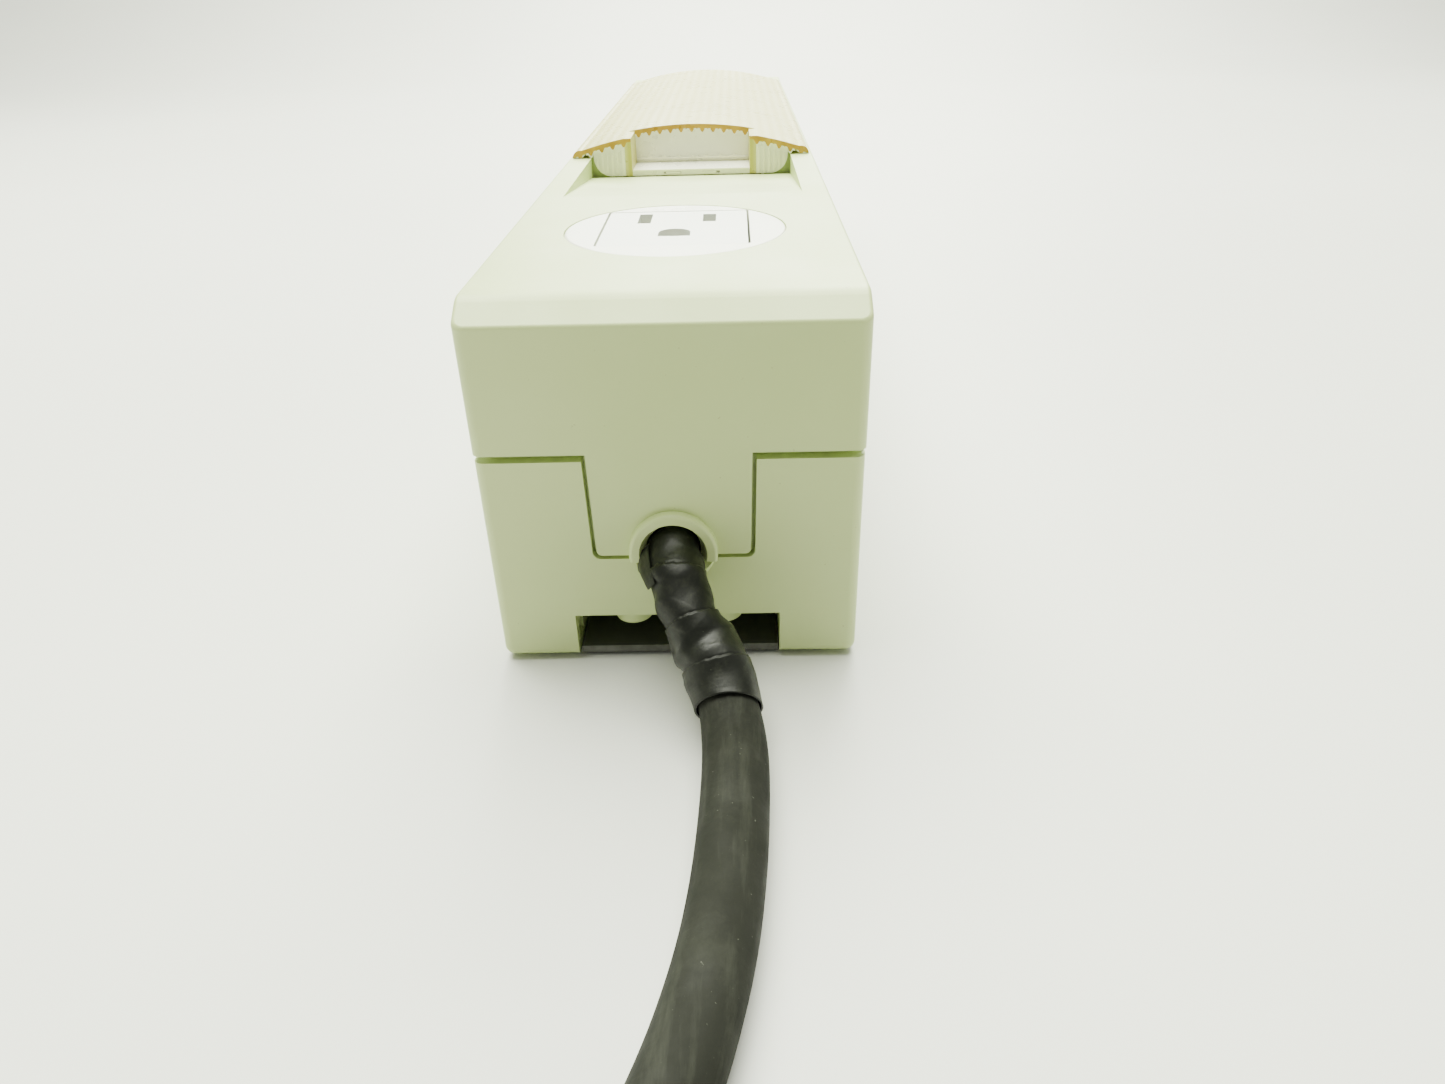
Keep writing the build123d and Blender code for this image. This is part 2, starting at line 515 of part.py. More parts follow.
# ---- outlet ----------------------------------------------------------------------------------------
BEZEL_TUBE_BOTTOM_Z = 52.0
with BuildPart() as socket_bezel:
    with BuildSketch(Plane.XY.offset(TOP_Z - BEZEL_THICKNESS)):
        with Locations((0, along(OUTLET_Y))):
            Circle(BEZEL_RADIUS)
    extrude(amount=BEZEL_THICKNESS)
    fillet(socket_bezel.edges().group_by(Axis.Z)[-1], radius=0.5)
    with BuildSketch(Plane.XY.offset(BEZEL_TUBE_BOTTOM_Z)):
        with Locations((0, along(INSERT_Y))):
            RectangleRounded(SOCKET_HOLE - 0.4, SOCKET_HOLE - 0.4, 4.8)
    extrude(amount=TOP_Z - BEZEL_THICKNESS / 2 - BEZEL_TUBE_BOTTOM_Z)
    with BuildSketch(Plane.XY.offset(BEZEL_TUBE_BOTTOM_Z - 1)):
        with Locations((0, along(INSERT_Y))):
            RectangleRounded(INSERT_SIZE + 0.9, INSERT_SIZE + 0.5, 0.7)
    extrude(amount=TOP_Z - BEZEL_TUBE_BOTTOM_Z + 2, mode=Mode.SUBTRACT)
save(socket_bezel.part, "socket_bezel")

CHAMBER_TOP_Z = 62.0
with BuildPart() as socket_insert:
    with BuildSketch(Plane.XY.offset(INSERT_BOTTOM_Z)):
        with Locations((0, along(INSERT_Y))):
            RectangleRounded(INSERT_SIZE, INSERT_SIZE, 0.6)
    extrude(amount=TOP_Z - 0.05 - INSERT_BOTTOM_Z)
    # openings in the face
    with BuildSketch(Plane.XY.offset(CHAMBER_TOP_Z - 1)):
        with Locations((-BLADE_X, along(BLADE_Y))):
            Rectangle(SLOT_WIDTH, NEUTRAL_SLOT)
        with Locations((BLADE_X, along(BLADE_Y))):
            Rectangle(SLOT_WIDTH, LINE_SLOT)
        with Locations((0, along(GROUND_Y))):
            Circle(GROUND_HOLE / 2)
        with Locations((0, along(GROUND_Y) - GROUND_HOLE / 4)):
            Rectangle(GROUND_HOLE, GROUND_HOLE / 2 - 0.3)
    extrude(amount=TOP_Z - CHAMBER_TOP_Z + 2, mode=Mode.SUBTRACT)
    # chambers for the contacts, open underneath
    with BuildSketch(Plane.XY.offset(INSERT_BOTTOM_Z)):
        with Locations((-BLADE_X, along(BLADE_Y)), (BLADE_X, along(BLADE_Y))):
            Rectangle(5.4, 10.0)
        with Locations((0, along(GROUND_Y))):
            Rectangle(8.0, 8.0)
    extrude(amount=CHAMBER_TOP_Z - INSERT_BOTTOM_Z, mode=Mode.SUBTRACT)
save(socket_insert.part, "socket_insert")

TAB_HALF, TAB_THICKNESS = 2.0, 0.8
CONTACT_SPOTS = [(-BLADE_X, along(BLADE_Y)), (BLADE_X, along(BLADE_Y)), (0, along(GROUND_Y))]
with BuildPart() as socket_back:
    with BuildSketch(Plane.XY.offset(INSERT_BOTTOM_Z - 2.0)):
        with Locations((0, along(INSERT_Y))):
            RectangleRounded(INSERT_SIZE, INSERT_SIZE, 0.6)
        with Locations(*CONTACT_SPOTS):
            Rectangle(TAB_THICKNESS + 0.6, 2 * TAB_HALF + 0.6, mode=Mode.SUBTRACT)
    extrude(amount=2.0)
save(socket_back.part, "socket_back")

CONTACT_BOTTOM_Z, CONTACT_TOP_Z, TAB_BOTTOM_Z = INSERT_BOTTOM_Z, 60.5, 36.0
CONTACT_SHEET = 0.7


def contact_tab(x, y):
    """The tab that goes down through the back plate."""
    block(
        (x - TAB_THICKNESS / 2, y - TAB_HALF, TAB_BOTTOM_Z),
        (x + TAB_THICKNESS / 2, y + TAB_HALF, CONTACT_BOTTOM_Z + CONTACT_SHEET / 2),
    )


for name, (x, y) in zip(("contact_neutral", "contact_line"), CONTACT_SPOTS):
    with BuildPart() as contact:
        block((x - 1.6, y - 4, CONTACT_BOTTOM_Z), (x + 1.6, y + 4, CONTACT_BOTTOM_Z + CONTACT_SHEET))
        for leaf in (-1.6, 1.6 - CONTACT_SHEET):
            block((x + leaf, y - 4, CONTACT_BOTTOM_Z), (x + leaf + CONTACT_SHEET, y + 4, CONTACT_TOP_Z))
        contact_tab(x, y)
    save(contact.part, name)

with BuildPart() as contact_ground:
    x, y = CONTACT_SPOTS[2]
    rod((x, y, CONTACT_BOTTOM_Z), (x, y, CONTACT_TOP_Z), 3.3)
    rod((x, y, CONTACT_BOTTOM_Z + CONTACT_SHEET), (x, y, CONTACT_TOP_Z + 1), 3.3 - CONTACT_SHEET, Mode.SUBTRACT)
    block((x - 0.5, y - 4, CONTACT_BOTTOM_Z + 4), (x + 0.5, y + 4, CONTACT_TOP_Z + 1), Mode.SUBTRACT)
    contact_tab(x, y)
save(contact_ground.part, "contact_ground")

# ---- terminal block --------------------------------------------------------------------------------
TERMINAL_START, TERMINAL_END, TERMINAL_HALF, TERMINAL_TOP_Z = 68.0, 88.0, 17.0, 28.5
TERMINAL_MIDDLE = (TERMINAL_START + TERMINAL_END) / 2
TERMINAL_XS, TERMINAL_WIRE_Z = (-10.5, 0.0, 10.5), 19.5
TWIN_HOLE_X = 1.8
CAVITY_HALF, CAVITY_MARGIN = 3.7, 3.0
TERMINAL_SPOTS = [(x, along(y)) for x in TERMINAL_XS for y in (TERMINAL_START + 5.5, TERMINAL_END - 5.5)]


def terminal_bores(near_radius, twin_radius):
    """One wire hole per pole from the near side and two from the far side."""
    z = TERMINAL_WIRE_Z
    for x in TERMINAL_XS:
        rod((x, along(TERMINAL_START - 1), z), (x, along(TERMINAL_MIDDLE), z), near_radius, Mode.SUBTRACT)
        for twin in (x - TWIN_HOLE_X, x + TWIN_HOLE_X):
            rod((twin, along(TERMINAL_MIDDLE), z), (twin, along(TERMINAL_END + 1), z), twin_radius, Mode.SUBTRACT)


with BuildPart() as terminal_block:
    block((-TERMINAL_HALF, along(TERMINAL_START), FLOOR_Z), (TERMINAL_HALF, along(TERMINAL_END), TERMINAL_TOP_Z))
    for x in TERMINAL_XS:
        block(
            (x - CAVITY_HALF, along(TERMINAL_START + CAVITY_MARGIN), TERMINAL_WIRE_Z - 3.1),
            (x + CAVITY_HALF, along(TERMINAL_END - CAVITY_MARGIN), TERMINAL_WIRE_Z + 3.6),
            Mode.SUBTRACT,
        )
    terminal_bores(1.9, 1.6)
    discs(TERMINAL_SPOTS, 2.2, TERMINAL_WIRE_Z, TERMINAL_TOP_Z + 1, Mode.SUBTRACT)
    for x in (-5.25, 5.25):
        block((x - 0.6, along(TERMINAL_START - 1), 25.5), (x + 0.6, along(TERMINAL_END + 1), TERMINAL_TOP_Z + 1), Mode.SUBTRACT)
save(terminal_block.part, "terminal_block")

with BuildPart() as terminal_inserts:
    for x in TERMINAL_XS:
        block(
            (x - CAVITY_HALF + 0.1, along(TERMINAL_START + CAVITY_MARGIN + 0.1), TERMINAL_WIRE_Z - 3.1),
            (x + CAVITY_HALF - 0.1, along(TERMINAL_END - CAVITY_MARGIN - 0.1), TERMINAL_WIRE_Z + 3.5),
        )
    terminal_bores(1.7, 1.5)
    discs(TERMINAL_SPOTS, 1.5, TERMINAL_WIRE_Z, TERMINAL_WIRE_Z + 5, Mode.SUBTRACT)
save(terminal_inserts.part, "terminal_inserts")
screw_set("terminal_screws", TERMINAL_SPOTS, TERMINAL_WIRE_Z + 6.0, -1, 1.4, (1.9, 1.6), 3.8)

# ---- reflector, lamp and its holder ----------------------------------------------------------------
REFLECTOR_START, REFLECTOR_END, REFLECTOR_HALF = 98.0, 304.0, 21.5
REFLECTOR_Z, SHEET = 39.6, 0.7
WING_START, WING_END, WING_HEIGHT = 150.0, 297.0, 9.0
REFLECTOR_SPOTS = [(x, along(y)) for x in (-16.0, 16.0) for y in (147.0, 292.0)]
HOLDER_PLUG_Y, HOLDER_PLUG_HALF_X, HOLDER_PLUG_HALF_Y = 114.0, 4.5, 3.5
with BuildPart() as reflector:
    block((-REFLECTOR_HALF, along(REFLECTOR_START), REFLECTOR_Z), (REFLECTOR_HALF, along(REFLECTOR_END), REFLECTOR_Z + SHEET))
    block(
        (-HOLDER_PLUG_HALF_X - 0.3, along(HOLDER_PLUG_Y - HOLDER_PLUG_HALF_Y - 0.3), REFLECTOR_Z - 1),
        (HOLDER_PLUG_HALF_X + 0.3, along(HOLDER_PLUG_Y + HOLDER_PLUG_HALF_Y + 0.3), REFLECTOR_Z + 1),
        Mode.SUBTRACT,
    )
    discs(REFLECTOR_SPOTS, 1.6, REFLECTOR_Z - 1, REFLECTOR_Z + 1, Mode.SUBTRACT)
    for inner, outer in ((REFLECTOR_HALF - SHEET, REFLECTOR_HALF), (-REFLECTOR_HALF, -REFLECTOR_HALF + SHEET)):
        block((inner, along(WING_START), REFLECTOR_Z), (outer, along(WING_END), REFLECTOR_Z + WING_HEIGHT))
save(reflector.part, "reflector")

with BuildPart() as reflector_posts:
    discs(REFLECTOR_SPOTS, 2.6, FLOOR_Z, REFLECTOR_Z)
    discs(REFLECTOR_SPOTS, 1.25, REFLECTOR_Z - 9, REFLECTOR_Z + 1, Mode.SUBTRACT)
save(reflector_posts.part, "reflector_posts")
screw_set("reflector_screws", REFLECTOR_SPOTS, REFLECTOR_Z + SHEET, -1, 1.2, (2.4, 0.7), 8.0)

HOLDER_BOTTOM_Z, HOLDER_TOP_Z, HOLDER_HALF = REFLECTOR_Z + SHEET, 59.0, 17.5
HOLDER_PLUG_BOTTOM_Z = 35.3
POST_HALF_X, POST_HALF_Z, POST_LENGTH, POST_GAP = 8.0, 5.6, 21.5, 0.4
PIN_X, PIN_RADIUS, PIN_LENGTH = 11.5, 1.15, 6.7
with BuildPart() as lampholder:
    block((-HOLDER_HALF, along(HOLDER_START), HOLDER_BOTTOM_Z), (HOLDER_HALF, along(HOLDER_END), HOLDER_TOP_Z))
    block(
        (-POST_HALF_X - POST_GAP, along(HOLDER_END - POST_LENGTH - 1.5), LAMP_Z - POST_HALF_Z - POST_GAP),
        (POST_HALF_X + POST_GAP, along(HOLDER_END + 1), LAMP_Z + POST_HALF_Z + POST_GAP),
        Mode.SUBTRACT,
    )
    for x in (-PIN_X, PIN_X):
        rod(
            (x, along(HOLDER_END - 10), LAMP_Z), (x, along(HOLDER_END + 1), LAMP_Z), PIN_RADIUS + 0.35, Mode.SUBTRACT
        )
    block(
        (-HOLDER_PLUG_HALF_X, along(HOLDER_PLUG_Y - HOLDER_PLUG_HALF_Y), HOLDER_PLUG_BOTTOM_Z),
        (HOLDER_PLUG_HALF_X, along(HOLDER_PLUG_Y + HOLDER_PLUG_HALF_Y), HOLDER_BOTTOM_Z + 0.5),
    )
save(lampholder.part, "lampholder")

LAMP_BASE_START = HOLDER_END + 0.3
LAMP_BASE_END = LAMP_BASE_START + LAMP_BASE_LENGTH
LAMP_BASE_HALF_X, LAMP_BASE_HALF_Z = 16.0, 8.6
TUBE_SEAT, PIN_SEAT = 6.0, 4.0
with BuildPart() as lamp_base:
    with BuildSketch(section(LAMP_BASE_START)):
        with Locations((0, LAMP_Z)):
            RectangleRounded(2 * LAMP_BASE_HALF_X, 2 * LAMP_BASE_HALF_Z, 3.0)
    extrude(amount=-LAMP_BASE_LENGTH)
    fillet(lamp_base.edges().group_by(Axis.Y)[-1], radius=1.5)
    with BuildSketch(section(LAMP_BASE_START)):
        with Locations((0, LAMP_Z)):
            RectangleRounded(2 * POST_HALF_X, 2 * POST_HALF_Z, 1.2)
    extrude(amount=POST_LENGTH)
    for x in (-TUBE_X, TUBE_X):
        rod((x, along(LAMP_BASE_END - TUBE_SEAT), LAMP_Z), (x, along(LAMP_BASE_END + 1), LAMP_Z), TUBE_RADIUS, Mode.SUBTRACT)
    for x in (-PIN_X, PIN_X):
        rod((x, along(LAMP_BASE_START - 1), LAMP_Z), (x, along(LAMP_BASE_START + PIN_SEAT), LAMP_Z), PIN_RADIUS, Mode.SUBTRACT)
save(lamp_base.part, "lamp_base")

BRIDGE_RADIUS, BRIDGE_Y = 3.2, LAMP_TIP - 12.0
with BuildPart() as lamp_tube:
    for x in (-TUBE_X, TUBE_X):
        dome = (x, along(LAMP_TIP - TUBE_RADIUS), LAMP_Z)
        rod((x, along(LAMP_BASE_END - TUBE_SEAT), LAMP_Z), dome, TUBE_RADIUS)
        with Locations(dome):
            Sphere(TUBE_RADIUS)
    rod((-TUBE_X, along(BRIDGE_Y), LAMP_Z), (TUBE_X, along(BRIDGE_Y), LAMP_Z), BRIDGE_RADIUS)
save(lamp_tube.part, "lamp_tube")

with BuildPart() as lamp_pins:
    for x in (-PIN_X, PIN_X):
        rod(
            (x, along(LAMP_BASE_START - PIN_LENGTH), LAMP_Z), (x, along(LAMP_BASE_START + PIN_SEAT), LAMP_Z), PIN_RADIUS
        )
save(lamp_pins.part, "lamp_pins")

CLIP_Y, CLIP_WIDTH, CLIP_SHEET = 236.0, 7.0, 0.6
CLIP_HALF = TUBE_X + TUBE_RADIUS + 0.8
CLIP_FOOT_Z = HOLDER_BOTTOM_Z + CLIP_SHEET / 2
with BuildPart() as lamp_clip:
    with BuildSketch(section(CLIP_Y - CLIP_WIDTH / 2)):
        with BuildLine():
            Polyline(
                (-CLIP_HALF + 1.2, LAMP_Z + 5.2),
                (-CLIP_HALF, LAMP_Z),
                (-CLIP_HALF, CLIP_FOOT_Z),
                (CLIP_HALF, CLIP_FOOT_Z),
                (CLIP_HALF, LAMP_Z),
                (CLIP_HALF - 1.2, LAMP_Z + 5.2),
            )
        trace(line_width=CLIP_SHEET)
    extrude(amount=-CLIP_WIDTH)
save(lamp_clip.part, "lamp_clip")

# ---- ballast ---------------------------------------------------------------------------------------
BALLAST_START, BALLAST_END, BALLAST_HALF = 158.0, 230.0, 18.6
BALLAST_BOTTOM_Z, BALLAST_TOP_Z = FLOOR_Z + BALLAST_PAD, 37.5
WINDING_Z = (BALLAST_BOTTOM_Z + BALLAST_TOP_Z) / 2
BALLAST_FOOT, WINDING_X, WINDING_END = 1.2, 9.5, 6.0
with BuildPart() as ballast_core:
    block((-BALLAST_HALF, along(BALLAST_START), BALLAST_BOTTOM_Z), (BALLAST_HALF, along(BALLAST_END), BALLAST_TOP_Z))
    for x in (-WINDING_X, WINDING_X):
        block(
            (x - 3.6, along(BALLAST_START - 1), WINDING_Z - 7.0), (x + 3.6, along(BALLAST_END + 1), WINDING_Z + 7.0),
            Mode.SUBTRACT,
        )
    block(
        (-6, along(BALLAST_SCREW_YS[0] - 5), BALLAST_BOTTOM_Z),
        (6, along(BALLAST_SCREW_YS[1] + 5), BALLAST_BOTTOM_Z + BALLAST_FOOT),
    )
    discs(BALLAST_SPOTS, 1.8, BALLAST_BOTTOM_Z - 1, BALLAST_BOTTOM_Z + 3, Mode.SUBTRACT)
save(ballast_core.part, "ballast_core")

with BuildPart() as ballast_winding:
    for x in (-WINDING_X, WINDING_X):
        block(
            (x - 3.3, along(BALLAST_START - 2), WINDING_Z - 6.7), (x + 3.3, along(BALLAST_END + 2), WINDING_Z + 6.7)
        )
    for y in (BALLAST_START - WINDING_END - 0.3, BALLAST_END + 0.3):
        block(
            (-WINDING_X - 3.3, along(y), WINDING_Z - 6.7), (WINDING_X + 3.3, along(y + WINDING_END), WINDING_Z + 6.7)
        )
save(ballast_winding.part, "ballast_winding")
screw_set("ballast_screws", BALLAST_SPOTS, BALLAST_BOTTOM_Z + BALLAST_FOOT, -1, 1.4, (2.6, 1.6), 4.2)

# ---- rocker switch ---------------------------------------------------------------------------------
ROCKER_PIVOT_Z = TOP_Z - 1.0
ROCKER_HALF_X, ROCKER_HALF_Y, ROCKER_TOP_Z = 7.6, 4.6, TOP_Z + 2.3
ROCKER_TILT = 9.0
SWITCH_RIM = 1.6
with BuildPart() as switch_body:
    with BuildSketch(Plane.XY.offset(TOP_Z)):
        with Locations((0, along(SWITCH_Y))):
            RectangleRounded(SWITCH_CUT_X + 1.8, SWITCH_CUT_Y + 2.0, 1.0)
    extrude(amount=SWITCH_RIM)
    fillet(switch_body.edges().group_by(Axis.Z)[-1], radius=0.7)
    block(
        (-SWITCH_CUT_X / 2 + 0.2, along(SWITCH_Y - SWITCH_CUT_Y / 2 + 0.2), TOP_Z - SWITCH_DEPTH),
        (SWITCH_CUT_X / 2 - 0.2, along(SWITCH_Y + SWITCH_CUT_Y / 2 - 0.2), TOP_Z + SWITCH_RIM / 2),
    )
    block(
        (-ROCKER_HALF_X - 0.6, along(SWITCH_Y - ROCKER_HALF_Y - 0.25), TOP_Z - 9),
        (ROCKER_HALF_X + 0.6, along(SWITCH_Y + ROCKER_HALF_Y + 0.25), TOP_Z + 3),
        Mode.SUBTRACT,
    )
    rod(
        (0, along(SWITCH_Y - ROCKER_HALF_Y - 1.05), ROCKER_PIVOT_Z), (0, along(SWITCH_Y + ROCKER_HALF_Y + 1.05), ROCKER_PIVOT_Z),
        1.05, Mode.SUBTRACT,
    )
save(switch_body.part, "switch_body")

with BuildPart() as switch_rocker:
    with BuildSketch(section(SWITCH_Y - ROCKER_HALF_Y)):
        with BuildLine():
            Polyline(
                (-ROCKER_HALF_X, ROCKER_TOP_Z - 0.6),
                (-ROCKER_HALF_X + 0.6, ROCKER_TOP_Z - 4.4),
                (-2.0, ROCKER_TOP_Z - 6.2),
                (2.0, ROCKER_TOP_Z - 6.2),
                (ROCKER_HALF_X - 0.6, ROCKER_TOP_Z - 4.4),
                (ROCKER_HALF_X, ROCKER_TOP_Z - 0.6),
            )
            ThreePointArc(
                (ROCKER_HALF_X, ROCKER_TOP_Z - 0.6), (0, ROCKER_TOP_Z - 1.6), (-ROCKER_HALF_X, ROCKER_TOP_Z - 0.6)
            )
        make_face()
    extrude(amount=-2 * ROCKER_HALF_Y)
    rod(
        (0, along(SWITCH_Y - ROCKER_HALF_Y - 0.9), ROCKER_PIVOT_Z), (0, along(SWITCH_Y + ROCKER_HALF_Y + 0.9), ROCKER_PIVOT_Z),
        1.0,
    )
save(switch_rocker.part.rotate(Axis((0, 0, ROCKER_PIVOT_Z), (0, 1, 0)), ROCKER_TILT), "switch_rocker")

SWITCH_TAB_X, SWITCH_TAB_TOP_Z = 5.0, TOP_Z - SWITCH_DEPTH
SWITCH_TAB_BOTTOM_Z = SWITCH_TAB_TOP_Z - 7.5
with BuildPart() as switch_terminals:
    for x in (-SWITCH_TAB_X, SWITCH_TAB_X):
        block((x - 0.4, along(SWITCH_Y) - 2.4, SWITCH_TAB_BOTTOM_Z), (x + 0.4, along(SWITCH_Y) + 2.4, SWITCH_TAB_TOP_Z))
save(switch_terminals.part, "switch_terminals")


# ---- wires -----------------------------------------------------------------------------------------
def wire(name, points, bends):
    """A round wire along straight runs joined by arcs, saved under its name."""
    with BuildPart() as piece:
        with BuildLine() as route:
            FilletPolyline(*[(x, along(y), z) for x, y, z in points], radius=bends)
        with BuildSketch(Plane(origin=route.line @ 0, z_dir=route.line % 0)):
            Circle(WIRE_RADIUS)
        sweep()
    save(piece.part, name)


END_GAP = 0.05
TERMINAL_NEAR, TERMINAL_FAR = TERMINAL_START + 5.0, TERMINAL_END - 5.0
NEUTRAL_X, GROUND_X, LINE_X = TERMINAL_XS
for name, start_x, start_z, end_x in (
    ("wire_supply_neutral", -1.9, ENTRY_Z - 1.2, NEUTRAL_X),
    ("wire_supply_ground", 0.0, ENTRY_Z + 2.1, GROUND_X),
    ("wire_supply_line", 1.9, ENTRY_Z - 1.2, LINE_X),
):
    wire(
        name,
        [
            (start_x, JACKET_END + END_GAP, start_z),
            (start_x, 24.0, start_z),
            (end_x, 46.0, TERMINAL_WIRE_Z),
            (end_x, TERMINAL_NEAR, TERMINAL_WIRE_Z),
        ],
        7.0,
    )

OUTLET_WIRE_Z, OUTLET_TURN_Y = 32.0, 94.0
for name, start_x, tab_x, tab_y in (
    ("wire_outlet_neutral", NEUTRAL_X + TWIN_HOLE_X, -BLADE_X, BLADE_Y),
    ("wire_outlet_ground", GROUND_X - TWIN_HOLE_X, 0.0, GROUND_Y),
    ("wire_outlet_line", LINE_X - TWIN_HOLE_X, BLADE_X, BLADE_Y),
):
    wire(
        name,
        [
            (start_x, TERMINAL_FAR, TERMINAL_WIRE_Z),
            (start_x, OUTLET_TURN_Y, TERMINAL_WIRE_Z),
            (start_x, OUTLET_TURN_Y, OUTLET_WIRE_Z + 1.0),
            (tab_x, BLADE_Y + 9.0, OUTLET_WIRE_Z),
            (tab_x, tab_y, OUTLET_WIRE_Z),
            (tab_x, tab_y, TAB_BOTTOM_Z - END_GAP),
        ],
        1.8,
    )

SIDE_X = 20.75
wire(
    "wire_switch_feed",
    [
        (LINE_X + TWIN_HOLE_X, TERMINAL_FAR, TERMINAL_WIRE_Z),
        (LINE_X + TWIN_HOLE_X, 92.0, TERMINAL_WIRE_Z),
        (SIDE_X, 106.0, TERMINAL_WIRE_Z),
        (SIDE_X, 314.0, TERMINAL_WIRE_Z),
        (SWITCH_TAB_X, SWITCH_Y, 30.0),
        (SWITCH_TAB_X, SWITCH_Y, SWITCH_TAB_BOTTOM_Z - END_GAP),
    ],
    5.0,
)
wire(
    "wire_switch_ballast",
    [
        (-SWITCH_TAB_X, SWITCH_Y, SWITCH_TAB_BOTTOM_Z - END_GAP),
        (-SWITCH_TAB_X, SWITCH_Y, WINDING_Z),
        (-SWITCH_TAB_X, BALLAST_END + WINDING_END + 0.3 + END_GAP, WINDING_Z),
    ],
    5.0,
)
LAMP_WIRE_X, LAMP_WIRE_TOP_Z = 2.2, HOLDER_PLUG_BOTTOM_Z - END_GAP
wire(
    "wire_ballast_lamp",
    [
        (WINDING_X - 3.0, BALLAST_START - WINDING_END - 0.3 - END_GAP, WINDING_Z),
        (WINDING_X - 3.0, 134.0, WINDING_Z),
        (LAMP_WIRE_X, HOLDER_PLUG_Y, WINDING_Z),
        (LAMP_WIRE_X, HOLDER_PLUG_Y, LAMP_WIRE_TOP_Z),
    ],
    4.0,
)
wire(
    "wire_lamp_neutral",
    [
        (NEUTRAL_X - TWIN_HOLE_X, TERMINAL_FAR, TERMINAL_WIRE_Z),
        (NEUTRAL_X - TWIN_HOLE_X, 98.0, TERMINAL_WIRE_Z),
        (-LAMP_WIRE_X, HOLDER_PLUG_Y, 24.0),
        (-LAMP_WIRE_X, HOLDER_PLUG_Y, LAMP_WIRE_TOP_Z),
    ],
    4.0,
)
wire(
    "wire_reflector_earth",
    [
        (GROUND_X + TWIN_HOLE_X, TERMINAL_FAR, TERMINAL_WIRE_Z),
        (GROUND_X + TWIN_HOLE_X, 92.0, TERMINAL_WIRE_Z),
        (4.5, 104.0, TERMINAL_WIRE_Z + 3.0),
        (4.5, 104.0, REFLECTOR_Z - END_GAP),
    ],
    4.0,
)

# ---- mains cable -----------------------------------------------------------------------------------
# The lead leaves the collar, drops to the floor and curves away to a loose coil, with the plug beside it.
LEAD_ROUTE = [
    (0.0, -167.5, 23.0),
    (0.0, -174.3, 23.0),
    (1.2, -179.9, 19.2),
    (5.0, -185.3, 14.2),
    (8.9, -192.3, 8.1),
    (10.2, -201.2, 5.3),
    (10.0, -212.7, 5.1),
    (9.2, -225.7, 5.1),
    (7.4, -239.7, 5.1),
    (3.4, -254.7, 5.1),
    (-3.5, -270.2, 5.1),
    (-11.5, -286.7, 5.1),
    (-19.0, -302.7, 5.1),
    (-24.6, -319.7, 5.1),
    (-26.9, -336.7, 5.1),
]
TAIL_ROUTE = [
    (-26.9, -336.7, 15.3),
    (-27.2, -351.7, 15.0),
    (-24.6, -365.7, 13.9),
    (-20.0, -378.7, 12.6),
    (-18.6, -388.7, 12.2),
]
STUB_EDGES = 6
TAPE_END_EDGES = 8


def bend_radii(points):
    """A fillet radius for each inner point, kept under half of the shorter run beside it."""
    radii = []
    for before, here, after in zip(points, points[1:], points[2:]):
        run_in = Vector(*here) - Vector(*before)
        run_out = Vector(*after) - Vector(*here)
        half_turn = math.radians(run_in.get_angle(run_out)) / 2
        radii.append(0.45 * min(run_in.length, run_out.length) / math.tan(half_turn))
    return radii


def route_edges(points):
    """The straight runs and arcs of a route, in order."""
    with BuildLine() as route:
        FilletPolyline(*points, radius=bend_radii(points))
    return route.edges().sort_by(route.wire())


def sleeve(edges, outer, inner=0.0):
    """A round tube along some edges, added to the part being built."""
    path = Wire(edges)
    with BuildSketch(Plane(origin=path @ 0, z_dir=path % 0)) as ring:
        Circle(outer)
        if inner:
            Circle(inner, mode=Mode.SUBTRACT)
    sweep(sections=ring.sketch, path=path)


lead_edges = route_edges(LEAD_ROUTE)
tail_edges = route_edges(TAIL_ROUTE)
stub_path = lead_edges[:STUB_EDGES]
lead_path = lead_edges[STUB_EDGES:]
print("lead bend radii:", [round(radius, 1) for radius in bend_radii(LEAD_ROUTE)])
print("tail bend radii:", [round(radius, 1) for radius in bend_radii(TAIL_ROUTE)])

with BuildPart() as cord_stub:
    sleeve(stub_path, STUB_RADIUS)
    rod((0, -167.5, ENTRY_Z), (0, along(JACKET_END), ENTRY_Z), STUB_RADIUS)
save(cord_stub.part, "cord_stub")

with BuildPart() as cord_lead:
    sleeve(lead_path, CORD_RADIUS)
save(cord_lead.part, "cord_lead")

TAPE_GAP, TAPE_STUB_RADIUS, TAPE_LEAD_RADIUS, TAPE_STEP = 0.05, 4.62, 5.55, 0.8
with BuildPart() as tape_wrap:
    # the wrap starts just inside the collar, past the straight run that the clamp holds
    taped_stub = stub_path[1:]
    sleeve(taped_stub, TAPE_STUB_RADIUS, STUB_RADIUS + TAPE_GAP)
    sleeve(lead_edges[STUB_EDGES:TAPE_END_EDGES], TAPE_LEAD_RADIUS, CORD_RADIUS + TAPE_GAP)
    stub_wire = Wire(taped_stub)
    with BuildSketch(Plane(origin=stub_wire @ 1, z_dir=-(stub_wire % 1))):
        Circle(TAPE_LEAD_RADIUS)
        Circle(STUB_RADIUS + TAPE_GAP, mode=Mode.SUBTRACT)
    extrude(amount=TAPE_STEP)
save(tape_wrap.part, "tape_wrap")

with BuildPart() as cord_tail:
    sleeve(tail_edges, CORD_RADIUS)
save(cord_tail.part, "cord_tail")

# the loose coil, as one closed ring that its turns fill
COIL_CENTRE = (36.85, -336.7)
COIL_OUTER, COIL_INNER, COIL_HEIGHT = 68.85, 33.15, 20.4
with BuildPart() as cord_coil:
    with BuildSketch():
        with Locations(COIL_CENTRE):
            Circle(COIL_OUTER)
            Circle(COIL_INNER, mode=Mode.SUBTRACT)
    extrude(amount=COIL_HEIGHT)
save(cord_coil.part, "cord_coil")

